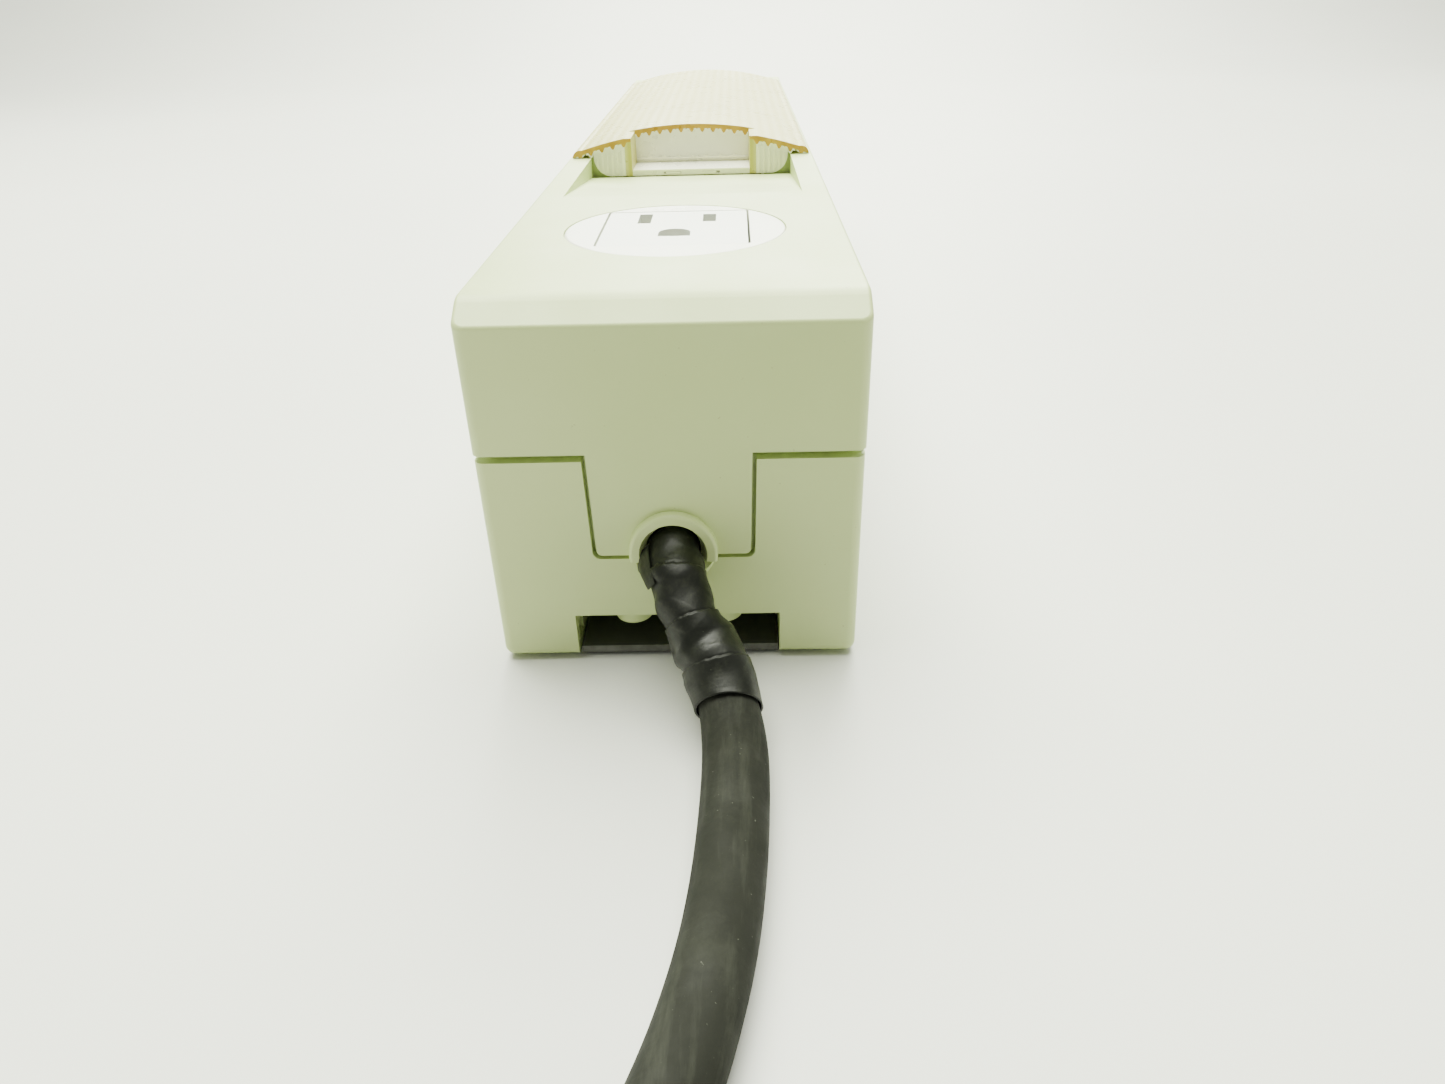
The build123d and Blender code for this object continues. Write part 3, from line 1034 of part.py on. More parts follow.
# ---- plug ------------------------------------------------------------------------------------------
PLUG_X, PLUG_START, PLUG_Z = -18.6, -388.7, 12.2
RELIEF_LENGTH, PLUG_LENGTH, PIN_REACH, PIN_ROOT = 20.0, 34.0, 20.0, 6.0
PLUG_HALF_X, PLUG_HALF_Z = 13.5, 12.2
PLUG_FACE = PLUG_START - RELIEF_LENGTH - PLUG_LENGTH
BLADE_RISE, GROUND_DROP = 4.7, 7.2
BLADE_HALF_WIDTH, BLADE_HALF_THICKNESS, GROUND_PIN_RADIUS = 3.175, 0.75, 2.4
with BuildPart() as plug_body:
    with BuildSketch(Plane.XZ.offset(-(PLUG_START - RELIEF_LENGTH))):
        with Locations((PLUG_X, PLUG_Z)):
            RectangleRounded(2 * PLUG_HALF_X, 2 * PLUG_HALF_Z, 5.0)
    extrude(amount=PLUG_LENGTH)
    fillet(plug_body.edges().group_by(Axis.Y)[-1], radius=4.0)
    fillet(plug_body.edges().group_by(Axis.Y)[0], radius=1.0)
    rod((PLUG_X, PLUG_START, PLUG_Z), (PLUG_X, PLUG_START - RELIEF_LENGTH - 1, PLUG_Z), 6.2)
    for x in (PLUG_X - BLADE_X, PLUG_X + BLADE_X):
        block(
            (x - BLADE_HALF_THICKNESS, PLUG_FACE - 1, PLUG_Z + BLADE_RISE - BLADE_HALF_WIDTH),
            (x + BLADE_HALF_THICKNESS, PLUG_FACE + PIN_ROOT, PLUG_Z + BLADE_RISE + BLADE_HALF_WIDTH),
            Mode.SUBTRACT,
        )
    ground_z = PLUG_Z - GROUND_DROP
    rod((PLUG_X, PLUG_FACE - 1, ground_z), (PLUG_X, PLUG_FACE + PIN_ROOT, ground_z), GROUND_PIN_RADIUS, Mode.SUBTRACT)
save(plug_body.part, "plug_body")

with BuildPart() as plug_blades:
    for x in (PLUG_X - BLADE_X, PLUG_X + BLADE_X):
        block(
            (x - BLADE_HALF_THICKNESS, PLUG_FACE - PIN_REACH, PLUG_Z + BLADE_RISE - BLADE_HALF_WIDTH),
            (x + BLADE_HALF_THICKNESS, PLUG_FACE + PIN_ROOT, PLUG_Z + BLADE_RISE + BLADE_HALF_WIDTH),
        )
save(plug_blades.part, "plug_blades")

with BuildPart() as plug_ground_pin:
    rod((PLUG_X, PLUG_FACE - PIN_REACH, ground_z), (PLUG_X, PLUG_FACE + PIN_ROOT, ground_z), GROUND_PIN_RADIUS)
    fillet(plug_ground_pin.edges().group_by(Axis.Y)[0], radius=1.6)
save(plug_ground_pin.part, "plug_ground_pin")
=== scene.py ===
"""Looks of the enclosure light with an outlet: materials, visible detail, cable, floor, light and camera.

The row frame: +Y away from the cable end, +Z up, X to the right. Blender takes metres. Sizes and places
named here are in millimetres, times MM where they are used, unless a comment says otherwise.
"""
import json
import math

import bpy
from mathutils import Matrix, Vector


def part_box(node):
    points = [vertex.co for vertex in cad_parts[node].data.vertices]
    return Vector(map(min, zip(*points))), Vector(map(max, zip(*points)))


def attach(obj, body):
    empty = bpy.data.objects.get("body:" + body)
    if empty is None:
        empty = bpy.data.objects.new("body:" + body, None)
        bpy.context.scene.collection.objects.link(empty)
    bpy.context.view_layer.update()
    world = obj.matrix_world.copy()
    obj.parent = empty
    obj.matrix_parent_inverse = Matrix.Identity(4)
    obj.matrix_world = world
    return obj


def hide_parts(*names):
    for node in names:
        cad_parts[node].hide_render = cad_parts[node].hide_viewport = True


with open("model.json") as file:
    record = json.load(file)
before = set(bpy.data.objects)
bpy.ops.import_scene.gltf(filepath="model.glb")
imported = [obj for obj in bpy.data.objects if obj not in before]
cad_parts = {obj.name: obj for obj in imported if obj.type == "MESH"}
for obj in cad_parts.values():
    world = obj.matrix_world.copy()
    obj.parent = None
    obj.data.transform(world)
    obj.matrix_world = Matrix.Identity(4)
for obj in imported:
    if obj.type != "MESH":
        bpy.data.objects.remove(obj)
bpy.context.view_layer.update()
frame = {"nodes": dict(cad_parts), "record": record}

MM = 0.001
NODES = frame["nodes"]

# the housing's two ends
HOUSING_LENGTH = 345.0
FAR_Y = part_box("top_cover")[1][1] / MM
NEAR_Y = FAR_Y - HOUSING_LENGTH


# ---- camera ----------------------------------------------------------------------------------------
CAMERA_PLACE = (11.28, -313.37, 108.26)
CAMERA_PITCH, CAMERA_YAW, CAMERA_ROLL = 30.59, -1.18, -1.52  # degrees; down, right, right side up
SENSOR_WIDTH, FOCAL_LENGTH = 36.0, 24.16


def aim_camera():
    """Close above the cable end, looking down along the housing."""
    pitch, yaw, roll = (math.radians(angle) for angle in (CAMERA_PITCH, CAMERA_YAW, CAMERA_ROLL))
    data = bpy.data.cameras.new("view")
    data.sensor_width = SENSOR_WIDTH
    data.lens = FOCAL_LENGTH
    data.clip_start = 0.01
    camera = bpy.data.objects.new("view", data)
    bpy.context.collection.objects.link(camera)
    level = math.cos(pitch)
    forward = Vector((math.sin(yaw) * level, math.cos(yaw) * level, -math.sin(pitch)))
    right = Vector((math.cos(yaw), -math.sin(yaw), 0.0))
    up = right.cross(forward)
    rolled_right = math.cos(roll) * right + math.sin(roll) * up
    rolled_up = -math.sin(roll) * right + math.cos(roll) * up
    turn = Matrix((rolled_right, rolled_up, -forward)).transposed()
    camera.matrix_world = Matrix.Translation(Vector(CAMERA_PLACE) * MM) @ turn.to_4x4()
    bpy.context.scene.camera = camera


aim_camera()


# ---- materials -------------------------------------------------------------------------------------
def new_material(name):
    """A new material, its node tree and its principled shader."""
    material = bpy.data.materials.new(name)
    material.use_nodes = True
    tree = material.node_tree
    shader = tree.nodes["Principled BSDF"]
    return material, tree, shader


def noise(tree, scale, detail=4.0, roughness=0.55, stretch=(1.0, 1.0, 1.0)):
    """A noise in object coordinates, in metres, stretched along an axis if asked."""
    coords = tree.nodes.new("ShaderNodeTexCoord")
    mapping = tree.nodes.new("ShaderNodeMapping")
    mapping.inputs["Scale"].default_value = stretch
    texture = tree.nodes.new("ShaderNodeTexNoise")
    texture.inputs["Scale"].default_value = scale
    texture.inputs["Detail"].default_value = detail
    texture.inputs["Roughness"].default_value = roughness
    tree.links.new(coords.outputs["Object"], mapping.inputs["Vector"])
    tree.links.new(mapping.outputs["Vector"], texture.inputs["Vector"])
    return texture.outputs["Fac"]


def ramp(tree, value, stops):
    """A colour ramp through (position, colour) stops."""
    node = tree.nodes.new("ShaderNodeValToRGB")
    elements = node.color_ramp.elements
    while len(elements) < len(stops):
        elements.new(0.5)
    for element, (position, colour) in zip(elements, stops):
        element.position = position
        element.color = (*colour, 1.0)
    tree.links.new(value, node.inputs["Fac"])
    return node.outputs["Color"]


def grey(level):
    """A neutral colour."""
    return (level, level, level)


def socket_of(sockets, name, kind):
    """The socket with this name and kind; a mix node has several of one name."""
    return next(socket for socket in sockets if socket.name == name and socket.type == kind)


def mix(tree, factor, first, second, blend="MIX"):
    """A colour mix; the factor is a socket or a number, first and second are sockets or colours."""
    node = tree.nodes.new("ShaderNodeMix")
    node.data_type = "RGBA"
    node.blend_type = blend
    factor_in = socket_of(node.inputs, "Factor", "VALUE")
    colour_a, colour_b = (socket_of(node.inputs, name, "RGBA") for name in "AB")
    for socket, value in ((factor_in, factor), (colour_a, first), (colour_b, second)):
        if isinstance(value, bpy.types.NodeSocket):
            tree.links.new(value, socket)
        elif isinstance(value, (int, float)):
            socket.default_value = value
        else:
            socket.default_value = (*value, 1.0)
    return socket_of(node.outputs, "Result", "RGBA")


def bump(tree, shader, value, strength, distance):
    """A bump of this height in metres from a value."""
    node = tree.nodes.new("ShaderNodeBump")
    node.inputs["Strength"].default_value = strength
    node.inputs["Distance"].default_value = distance
    tree.links.new(value, node.inputs["Height"])
    tree.links.new(node.outputs["Normal"], shader.inputs["Normal"])


def rough_patches(tree, shader, scale, smooth, dull, detail=4.0):
    """Uneven gloss between two roughness values."""
    value = ramp(tree, noise(tree, scale, detail), [(0.3, grey(smooth)), (0.7, grey(dull))])
    tree.links.new(value, shader.inputs["Roughness"])


def moulded(name, colour, darker, rough=0.42, specks=0.0, grain=900.0, bump_height=0.00003, subsurface=0.0):
    """Moulded plastic: faint mottling, fine grain, and dirt specks if asked."""
    material, tree, shader = new_material(name)
    base = ramp(tree, noise(tree, 26.0, 5.0), [(0.30, darker), (0.72, colour)])
    if specks:
        fleck = ramp(tree, noise(tree, 1150.0, 2.0, 0.5), [(0.735, grey(0.0)), (0.78, grey(0.8))])
        patch = ramp(tree, noise(tree, 34.0, 3.0), [(0.45, grey(0.0)), (0.68, grey(specks))])
        amount = mix(tree, 1.0, fleck, patch, "MULTIPLY")
        base = mix(tree, amount, base, (0.16, 0.14, 0.09))
    tree.links.new(base, shader.inputs["Base Color"])
    rough_patches(tree, shader, 70.0, rough - 0.07, rough + 0.08)
    shader.inputs["Subsurface Weight"].default_value = subsurface
    shader.inputs["Subsurface Radius"].default_value = (0.002, 0.002, 0.0012)
    bump(tree, shader, noise(tree, grain, 3.0), 0.5, bump_height)
    return material


def metal(name, colour, darker, rough=0.3, scale=300.0, stretch=(1.0, 1.0, 1.0)):
    """Bare metal with fine uneven brightness."""
    material, tree, shader = new_material(name)
    shader.inputs["Metallic"].default_value = 1.0
    base = ramp(tree, noise(tree, scale, 4.0, 0.6, stretch), [(0.3, darker), (0.7, colour)])
    tree.links.new(base, shader.inputs["Base Color"])
    rough_patches(tree, shader, 120.0, rough - 0.08, rough + 0.1)
    bump(tree, shader, noise(tree, scale * 2, 3.0, 0.6, stretch), 0.3, 0.00002)
    return material


def rubber(name, colour, dust, rough=0.62, dust_amount=0.6, gloss=0.5):
    """Dark rubber or vinyl with dust in patches, long scuffs and light flecks."""
    material, tree, shader = new_material(name)
    base = ramp(tree, noise(tree, 90.0, 5.0), [(0.3, tuple(c * 0.75 for c in colour)), (0.7, colour)])
    dusty = ramp(tree, noise(tree, 55.0, 8.0, 0.7), [(0.50, grey(0.0)), (0.72, grey(dust_amount))])
    scratches = noise(tree, 130.0, 6.0, 0.65, (3.0, 0.35, 3.0))
    scuff = ramp(tree, scratches, [(0.52, grey(0.0)), (0.74, grey(0.5))])
    fleck = ramp(tree, noise(tree, 1700.0, 2.0, 0.5), [(0.73, grey(0.0)), (0.78, grey(0.7))])
    base = mix(tree, dusty, base, dust)
    base = mix(tree, scuff, base, tuple(c * 1.25 for c in dust))
    base = mix(tree, fleck, base, tuple(min(1.0, c * 2.6) for c in dust))
    tree.links.new(base, shader.inputs["Base Color"])
    rough_patches(tree, shader, 160.0, rough - 0.12, rough + 0.14, 5.0)
    shader.inputs["Specular IOR Level"].default_value = gloss
    bump(tree, shader, noise(tree, 1500.0, 4.0, 0.6), 0.6, 0.00006)
    return material


HOUSING = moulded(
    "housing_plastic", (0.565, 0.66, 0.30), (0.535, 0.63, 0.27), 0.42, specks=0.9, subsurface=0.04,
)
BEZEL = moulded("bezel_plastic", (0.90, 0.92, 0.80), (0.87, 0.89, 0.76), 0.30)
INSERT = moulded("insert_plastic", (0.86, 0.89, 0.80), (0.82, 0.85, 0.76), 0.34)
CLAMP = moulded("clamp_plastic", (0.62, 0.63, 0.56), (0.55, 0.56, 0.5), 0.5)
BLOCK = moulded("block_plastic", (0.80, 0.79, 0.73), (0.74, 0.73, 0.67), 0.5)
LAMP_BASE = moulded("lamp_base_plastic", (0.84, 0.83, 0.78), (0.79, 0.78, 0.72), 0.5)
SWITCH = moulded("switch_plastic", (0.86, 0.86, 0.80), (0.81, 0.81, 0.75), 0.35)
REFLECTOR = moulded("reflector_enamel", (0.88, 0.88, 0.85), (0.84, 0.84, 0.80), 0.25)
WIRE_WHITE = moulded("wire_white", (0.80, 0.80, 0.77), (0.74, 0.74, 0.70), 0.45)
WIRE_BLACK = moulded("wire_black", (0.030, 0.030, 0.030), (0.020, 0.020, 0.020), 0.45)
WIRE_GREEN = moulded("wire_green", (0.030, 0.190, 0.060), (0.020, 0.150, 0.045), 0.45)
LAMP_GLASS = moulded("lamp_phosphor", (0.92, 0.92, 0.90), (0.90, 0.90, 0.87), 0.18, bump_height=0.000005)
WINDING = moulded(
    "winding_varnish", (0.35, 0.12, 0.03), (0.26, 0.08, 0.02), 0.35, grain=400.0, bump_height=0.00012,
)
BRASS = metal("contact_brass", (0.72, 0.52, 0.22), (0.58, 0.40, 0.15), 0.28)
STEEL = metal("zinc_steel", (0.62, 0.62, 0.60), (0.48, 0.48, 0.47), 0.34)
SPRING = metal("spring_steel", (0.66, 0.66, 0.66), (0.55, 0.55, 0.55), 0.25, 200.0, (1.0, 8.0, 1.0))
CORE = metal("core_laminations", (0.16, 0.16, 0.17), (0.09, 0.09, 0.10), 0.5, 500.0, (0.2, 0.2, 6.0))
CORD = rubber("cord_jacket", (0.014, 0.015, 0.011), (0.032, 0.034, 0.026), 0.78, 0.6, 0.18)
TAPE = rubber("tape_vinyl", (0.006, 0.007, 0.005), (0.026, 0.028, 0.020), 0.42, 0.3, 0.28)
PLUG = rubber("plug_rubber", (0.022, 0.022, 0.022), (0.09, 0.085, 0.08), 0.55, 0.35)


def coordinate(tree, axis):
    """One object coordinate, in metres."""
    coords = tree.nodes.new("ShaderNodeTexCoord")
    split = tree.nodes.new("ShaderNodeSeparateXYZ")
    tree.links.new(coords.outputs["Object"], split.inputs["Vector"])
    return split.outputs[axis]


def calc(tree, operation, first, second=0.0):
    """A math node on sockets or numbers."""
    node = tree.nodes.new("ShaderNodeMath")
    node.operation = operation
    for socket, value in zip(node.inputs, (first, second)):
        if isinstance(value, bpy.types.NodeSocket):
            tree.links.new(value, socket)
        else:
            socket.default_value = value
    return node.outputs[0]


# how far back from the plate's front the lighter edge reaches: worn bare steel and a painted highlight
PLATE_FRONT_WEAR_AND_SHEEN = 1.35


def plate_paint():
    """Dark paint, lighter on its front edge: partly bare steel where the paint is worn, partly a painted
    highlight where the edge catches the light.
    """
    material, tree, shader = new_material("plate_paint")
    # the front edge: worn to bare steel in patches, and a painted highlight of the light on that edge
    front = calc(tree, "LESS_THAN", coordinate(tree, "Y"), (NEAR_Y + PLATE_FRONT_WEAR_AND_SHEEN) * MM)
    wear_and_sheen = ramp(tree, noise(tree, 420.0, 6.0, 0.7), [(0.40, grey(0.10)), (0.62, grey(0.22))])
    worn_and_sheen = mix(tree, 1.0, front, wear_and_sheen, "MULTIPLY")
    dark = ramp(tree, noise(tree, 60.0), [(0.3, (0.050, 0.054, 0.042)), (0.7, (0.076, 0.080, 0.063))])
    tree.links.new(mix(tree, worn_and_sheen, dark, (0.42, 0.42, 0.40)), shader.inputs["Base Color"])
    shader.inputs["Roughness"].default_value = 0.42
    bump(tree, shader, noise(tree, 700.0), 0.4, 0.00004)
    return material


PLATE = plate_paint()


# the diffuser: its near end, its arch, the ribs under the arch, the end panels and the finger pocket
LENS_LOW, LENS_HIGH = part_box("lens")
LENS_START, SKIRT_BOTTOM, CROWN_Z = LENS_LOW[1] / MM, LENS_LOW[2] / MM, LENS_HIGH[2] / MM
CROWN_RADIUS, LENS_SHELL = 98.0, 1.1
RIB_PITCH, RIB_DEPTH = 2.9, 1.0
SKIRT_HALF, END_CORNER = 25.5, 4.6
POCKET_HALF, POST_OUTER = 15.5, 17.2
POCKET_BACK = LENS_START + 13.2


def crown_z(x, drop=0.0):
    """Height of the arch at x, or of a surface this far inside it."""
    return CROWN_Z - CROWN_RADIUS + math.sqrt((CROWN_RADIUS - drop) ** 2 - x**2)


def lens_colour(tree):
    """The diffuser's colour (aged yellow, pale end faces, ochre cut edges, painted highlights over the ribs)
    and its stripes, for the bump.
    """
    x, y, z = (coordinate(tree, axis) for axis in "XYZ")
    off_centre = calc(tree, "ABSOLUTE", x)

    # painted highlights: paler stripes over the ribs, in patches, for light coming through the ribs and
    # glinting on them
    wave = calc(tree, "COSINE", calc(tree, "MULTIPLY", x, 2 * math.pi / (RIB_PITCH * MM)))
    stripe = calc(tree, "MULTIPLY", calc(tree, "ADD", wave, 1.0), 0.5)
    patches = noise(tree, 75.0, 2.0, 0.5, (1.0, 0.12, 0.3))
    shine = ramp(tree, patches, [(0.42, grey(0.28)), (0.62, grey(0.50))])
    aged = ramp(tree, noise(tree, 22.0, 4.0), [(0.35, (0.55, 0.52, 0.095)), (0.65, (0.60, 0.575, 0.13))])
    colour = mix(tree, calc(tree, "MULTIPLY", stripe, shine), aged, (0.93, 0.92, 0.58))

    # height above the arch's own curve, so that one limit holds from side to side
    sag = calc(tree, "MULTIPLY", calc(tree, "MULTIPLY", x, x), 0.5 / (CROWN_RADIUS * MM))
    arch = calc(tree, "ADD", z, sag)

    # the upright faces at the near end
    upright = calc(tree, "LESS_THAN", y, (POCKET_BACK + 0.3) * MM)
    below_arch = calc(tree, "LESS_THAN", arch, (CROWN_Z - LENS_SHELL - 0.2) * MM)
    beside_post = calc(tree, "GREATER_THAN", off_centre, (POST_OUTER + 0.05) * MM)
    between_posts = calc(tree, "LESS_THAN", off_centre, (POCKET_HALF - 0.05) * MM)
    panel = calc(tree, "MAXIMUM", beside_post, between_posts)
    end_face = calc(tree, "MULTIPLY", calc(tree, "MULTIPLY", upright, below_arch), panel)
    colour = mix(tree, end_face, colour, (0.93, 0.93, 0.76))

    # the cut edge of the arch and its ribs, at the near end and at the back of the pocket
    tooth = calc(tree, "MULTIPLY", calc(tree, "MAXIMUM", wave, 0.0), RIB_DEPTH * MM)
    in_shell = calc(tree, "GREATER_THAN", calc(tree, "ADD", arch, tooth), (CROWN_Z - LENS_SHELL) * MM)
    near = calc(tree, "LESS_THAN", y, (LENS_START + 0.2) * MM)
    from_back = calc(tree, "ABSOLUTE", calc(tree, "SUBTRACT", y, POCKET_BACK * MM))
    at_back = calc(tree, "LESS_THAN", from_back, 0.2 * MM)
    in_pocket = calc(tree, "LESS_THAN", off_centre, (POCKET_HALF + 0.1) * MM)
    cut = calc(tree, "MAXIMUM", near, calc(tree, "MULTIPLY", at_back, in_pocket))
    ochre = ramp(tree, noise(tree, 300.0, 3.0), [(0.35, (0.46, 0.25, 0.012)), (0.65, (0.60, 0.37, 0.03))])
    return mix(tree, calc(tree, "MULTIPLY", in_shell, cut), colour, ochre), stripe


def lens_plastic():
    """The diffuser: mostly opaque, with a little light let through."""
    material, tree, shader = new_material("diffuser_plastic")
    colour, stripe = lens_colour(tree)
    tree.links.new(colour, shader.inputs["Base Color"])
    shader.inputs["Transmission Weight"].default_value = 0.15
    shader.inputs["IOR"].default_value = 1.45
    shader.inputs["Specular IOR Level"].default_value = 0.35
    rough_patches(tree, shader, 90.0, 0.24, 0.34)
    bump(tree, shader, stripe, 0.25, 0.00010)
    return material


LENS = lens_plastic()
# pale plastic of the end ribs, ledge, sill and catches; also the painted glow of light through the ribs
# under the diffuser's cut edge
PALE_AND_GLOW = moulded("diffuser_pale_and_glow", (0.96, 0.95, 0.78), (0.92, 0.91, 0.68), 0.25, subsurface=0.2)

# the material of each slot that the CAD record names
FINISH = {
    "housing": HOUSING, "diffuser": LENS, "plate": PLATE, "screw": STEEL, "clamp": CLAMP, "bezel": BEZEL,
    "insert": INSERT, "brass": BRASS, "block": BLOCK, "reflector": REFLECTOR, "reflector_post": STEEL,
    "lamp_base": LAMP_BASE, "lamp_glass": LAMP_GLASS, "spring": SPRING, "core": CORE, "winding": WINDING,
    "switch": SWITCH, "wire_white": WIRE_WHITE, "wire_black": WIRE_BLACK, "wire_green": WIRE_GREEN,
    "cord": CORD, "tape": TAPE, "plug": PLUG,
}
for entry in frame["record"]["subparts"]:
    target = NODES[entry["node"]]
    target.data.materials.clear()
    target.data.materials.append(FINISH[entry["material_slot"]])


# ---- collar edges ----------------------------------------------------------------------------------
BEVEL_WIDTH = 0.28
SHARP_ANGLE = 32.0  # degrees; edges turning by less stay as they are


def bevel_collar():
    """A bevel on the cover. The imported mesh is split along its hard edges, which a bevel leaves alone, so
    it reaches only a few edges at the rim of the collar. It doesn't soften the cover's other edges.
    """
    edge = NODES["top_cover"].modifiers.new("collar_edges", "BEVEL")
    edge.width = BEVEL_WIDTH * MM
    edge.segments = 2
    edge.limit_method = "ANGLE"
    edge.angle_limit = math.radians(SHARP_ANGLE)
    edge.harden_normals = False
    edge.use_clamp_overlap = True


bevel_collar()


# ---- shape helpers ---------------------------------------------------------------------------------
def smoothstep(low, high, value):
    """A smooth step from 0 at low to 1 at high."""
    x = min(1.0, max(0.0, (value - low) / (high - low)))
    return x * x * (3 - 2 * x)


def mesh_object(name, verts, faces, material, smooth=True):
    """A mesh piece from points in metres."""
    mesh = bpy.data.meshes.new(name)
    mesh.from_pydata(verts, [], faces)
    mesh.materials.append(material)
    mesh.polygons.foreach_set("use_smooth", [smooth] * len(mesh.polygons))
    made = bpy.data.objects.new(name, mesh)
    bpy.context.collection.objects.link(made)
    return made


def resample(points, step, start, end):
    """Evenly spaced points on a polyline between two distances along it, with their distances."""
    lengths = [0.0]
    for a, b in zip(points, points[1:]):
        lengths.append(lengths[-1] + (b - a).length)
    result = []
    count = max(2, round((end - start) / step))
    index = 0
    for i in range(count + 1):
        distance = start + (end - start) * i / count
        while index < len(lengths) - 2 and lengths[index + 1] < distance:
            index += 1
        span = lengths[index + 1] - lengths[index]
        blend = (distance - lengths[index]) / span if span else 0.0
        result.append((distance, points[index].lerp(points[index + 1], blend)))
    return result


def frames_along(samples):
    """Each sample with its side, upward and forward directions."""
    result = []
    for i, (distance, point) in enumerate(samples):
        before = samples[max(0, i - 1)][1]
        after = samples[min(len(samples) - 1, i + 1)][1]
        tangent = (after - before).normalized()
        side = tangent.cross(Vector((0, 0, 1))).normalized()
        result.append((distance, point, side, side.cross(tangent).normalized(), tangent))
    return result


# ---- cord ------------------------------------------------------------------------------------------
# from inside the collar down to the floor and along it to the coil
LEAD_ROUTE = [
    (0.0, -167.5, 23.0),
    (0.0, -174.3, 23.0),
    (1.2, -179.9, 19.2),
    (5.0, -185.3, 14.2),
    (8.9, -192.3, 8.1),
    (10.2, -201.2, 5.3),
    (10.0, -212.7, 5.1),
    (9.2, -225.7, 5.1),
    (7.4, -239.7, 5.1),
    (3.4, -254.7, 5.1),
    (-3.5, -270.2, 5.1),
    (-11.5, -286.7, 5.1),
    (-19.0, -302.7, 5.1),
    (-24.6, -319.7, 5.1),
]
# from the top of the coil to the plug
TAIL_ROUTE = [
    (-27.2, -351.7, 15.0),
    (-24.6, -365.7, 13.9),
    (-20.0, -378.7, 12.6),
    (-18.6, -388.7, 12.2),
]
COIL_CENTRE = Vector((36.85, -336.7))
COIL_OUTER, COIL_INNER = 63.75, 38.25
COIL_TURNS, TURN_POINTS = 5, 16
CORD_RADIUS = 5.1
COIL_LOW, COIL_HIGH = CORD_RADIUS, 3 * CORD_RADIUS
CLIMB_TURNS = 0.7  # the cord climbs to the upper layer within this part of a turn
STUB_SWELL = (0.8, 0.8, 0.8, 0.82, 0.92, 1.0)  # the fitting's own thinner cable, up to the full jacket


def coil_points():
    """Five turns in two layers: inwards on the floor, then outwards on top."""
    points = []
    steps = COIL_TURNS * TURN_POINTS
    for step in range(steps + 1):
        turns = step / TURN_POINTS
        half = COIL_TURNS / 2
        spread = abs(turns - half) / half
        radius = COIL_INNER + (COIL_OUTER - COIL_INNER) * spread
        climb = smoothstep(half - CLIMB_TURNS / 2, half + CLIMB_TURNS / 2, turns)
        height = COIL_LOW + (COIL_HIGH - COIL_LOW) * climb
        angle = math.pi + 2 * math.pi * turns
        x = COIL_CENTRE.x + radius * math.cos(angle)
        y = COIL_CENTRE.y + radius * math.sin(angle)
        points.append((x, y, height))
    return points


def spline_object(name, points, radius, resolution=8, swell=()):
    """A smooth round curve with these control points; swell scales its first radii."""
    curve = bpy.data.curves.new(name, "CURVE")
    curve.dimensions = "3D"
    curve.bevel_depth = radius * MM
    curve.bevel_resolution = 6
    curve.resolution_u = resolution
    curve.use_fill_caps = True
    spline = curve.splines.new("NURBS")
    spline.points.add(len(points) - 1)
    for point, place in zip(spline.points, points):
        point.co = (*(value * MM for value in place), 1.0)
    for point, factor in zip(spline.points, swell):
        point.radius = factor
    spline.order_u = 3
    spline.use_endpoint_u = True
    made = bpy.data.objects.new(name, curve)
    bpy.context.collection.objects.link(made)
    return made


def centreline(control):
    """Points in metres along the smooth spline, without its thickness."""
    probe = spline_object("probe", control, 0.0, 12)
    bpy.context.view_layer.update()
    mesh = bpy.data.meshes.new_from_object(probe)
    points = [vertex.co.copy() for vertex in mesh.vertices]
    bpy.data.meshes.remove(mesh)
    curve = probe.data
    bpy.data.objects.remove(probe)
    bpy.data.curves.remove(curve)
    return points


cord_control = LEAD_ROUTE + coil_points() + TAIL_ROUTE
cord = spline_object("mains_cord", cord_control, CORD_RADIUS, swell=STUB_SWELL)
line = centreline(cord_control)
cord_length = sum((b - a).length for a, b in zip(line, line[1:]))
print("cord length", round(cord_length, 3))
cord.data.materials.append(CORD)


# ---- tape ------------------------------------------------------------------------------------------
TAPE_START, TAPE_END = 3.6, 34.0  # distances along the cord
TAPE_PITCH, TAPE_STEP = 8.4, 0.22  # between two laps, between two rows of the mesh
TAPE_AROUND = 120  # points in a row
STUB_WOUND, JACKET_WOUND = 4.45, 5.42  # radius under the last layer, over the stub and over the jacket
JACKET_FROM, JACKET_FULL = 17.5, 25.0
LUMP_HEIGHT, LUMP_PLACE, LUMP_WIDTH = 0.25, 9.0, 3.0
SLANT, SLANT_FROM = 0.8, 20.0  # how far the last edge leans, and from where on
STUB_SKIN, JACKET_SKIN = 4.12, 5.12  # radii to which the two ends turn in
FLAP_ROWS, FLAP_THICKNESS = 9, 0.16

# the folds: height, lean, waves per millimetre (in radians), waves round the cord, phase
FOLDS = ((0.26, 1.0, 0.42, 1, 0.4), (0.16, -1.0, 0.80, 2, 1.9), (0.05, 1.0, 1.7, 3, 0.7))


def wrinkle(along, angle):
    """Height of the folds pressed into the tape."""
    total = 0.0
    for height, lean, along_wave, around_wave, phase in FOLDS:
        bend = 0.8 * math.sin(0.5 * along + angle)
        wave = math.sin(along_wave * along + lean * around_wave * angle + phase + bend)
        total += height * math.copysign(abs(wave) ** 0.7, wave)
    return total


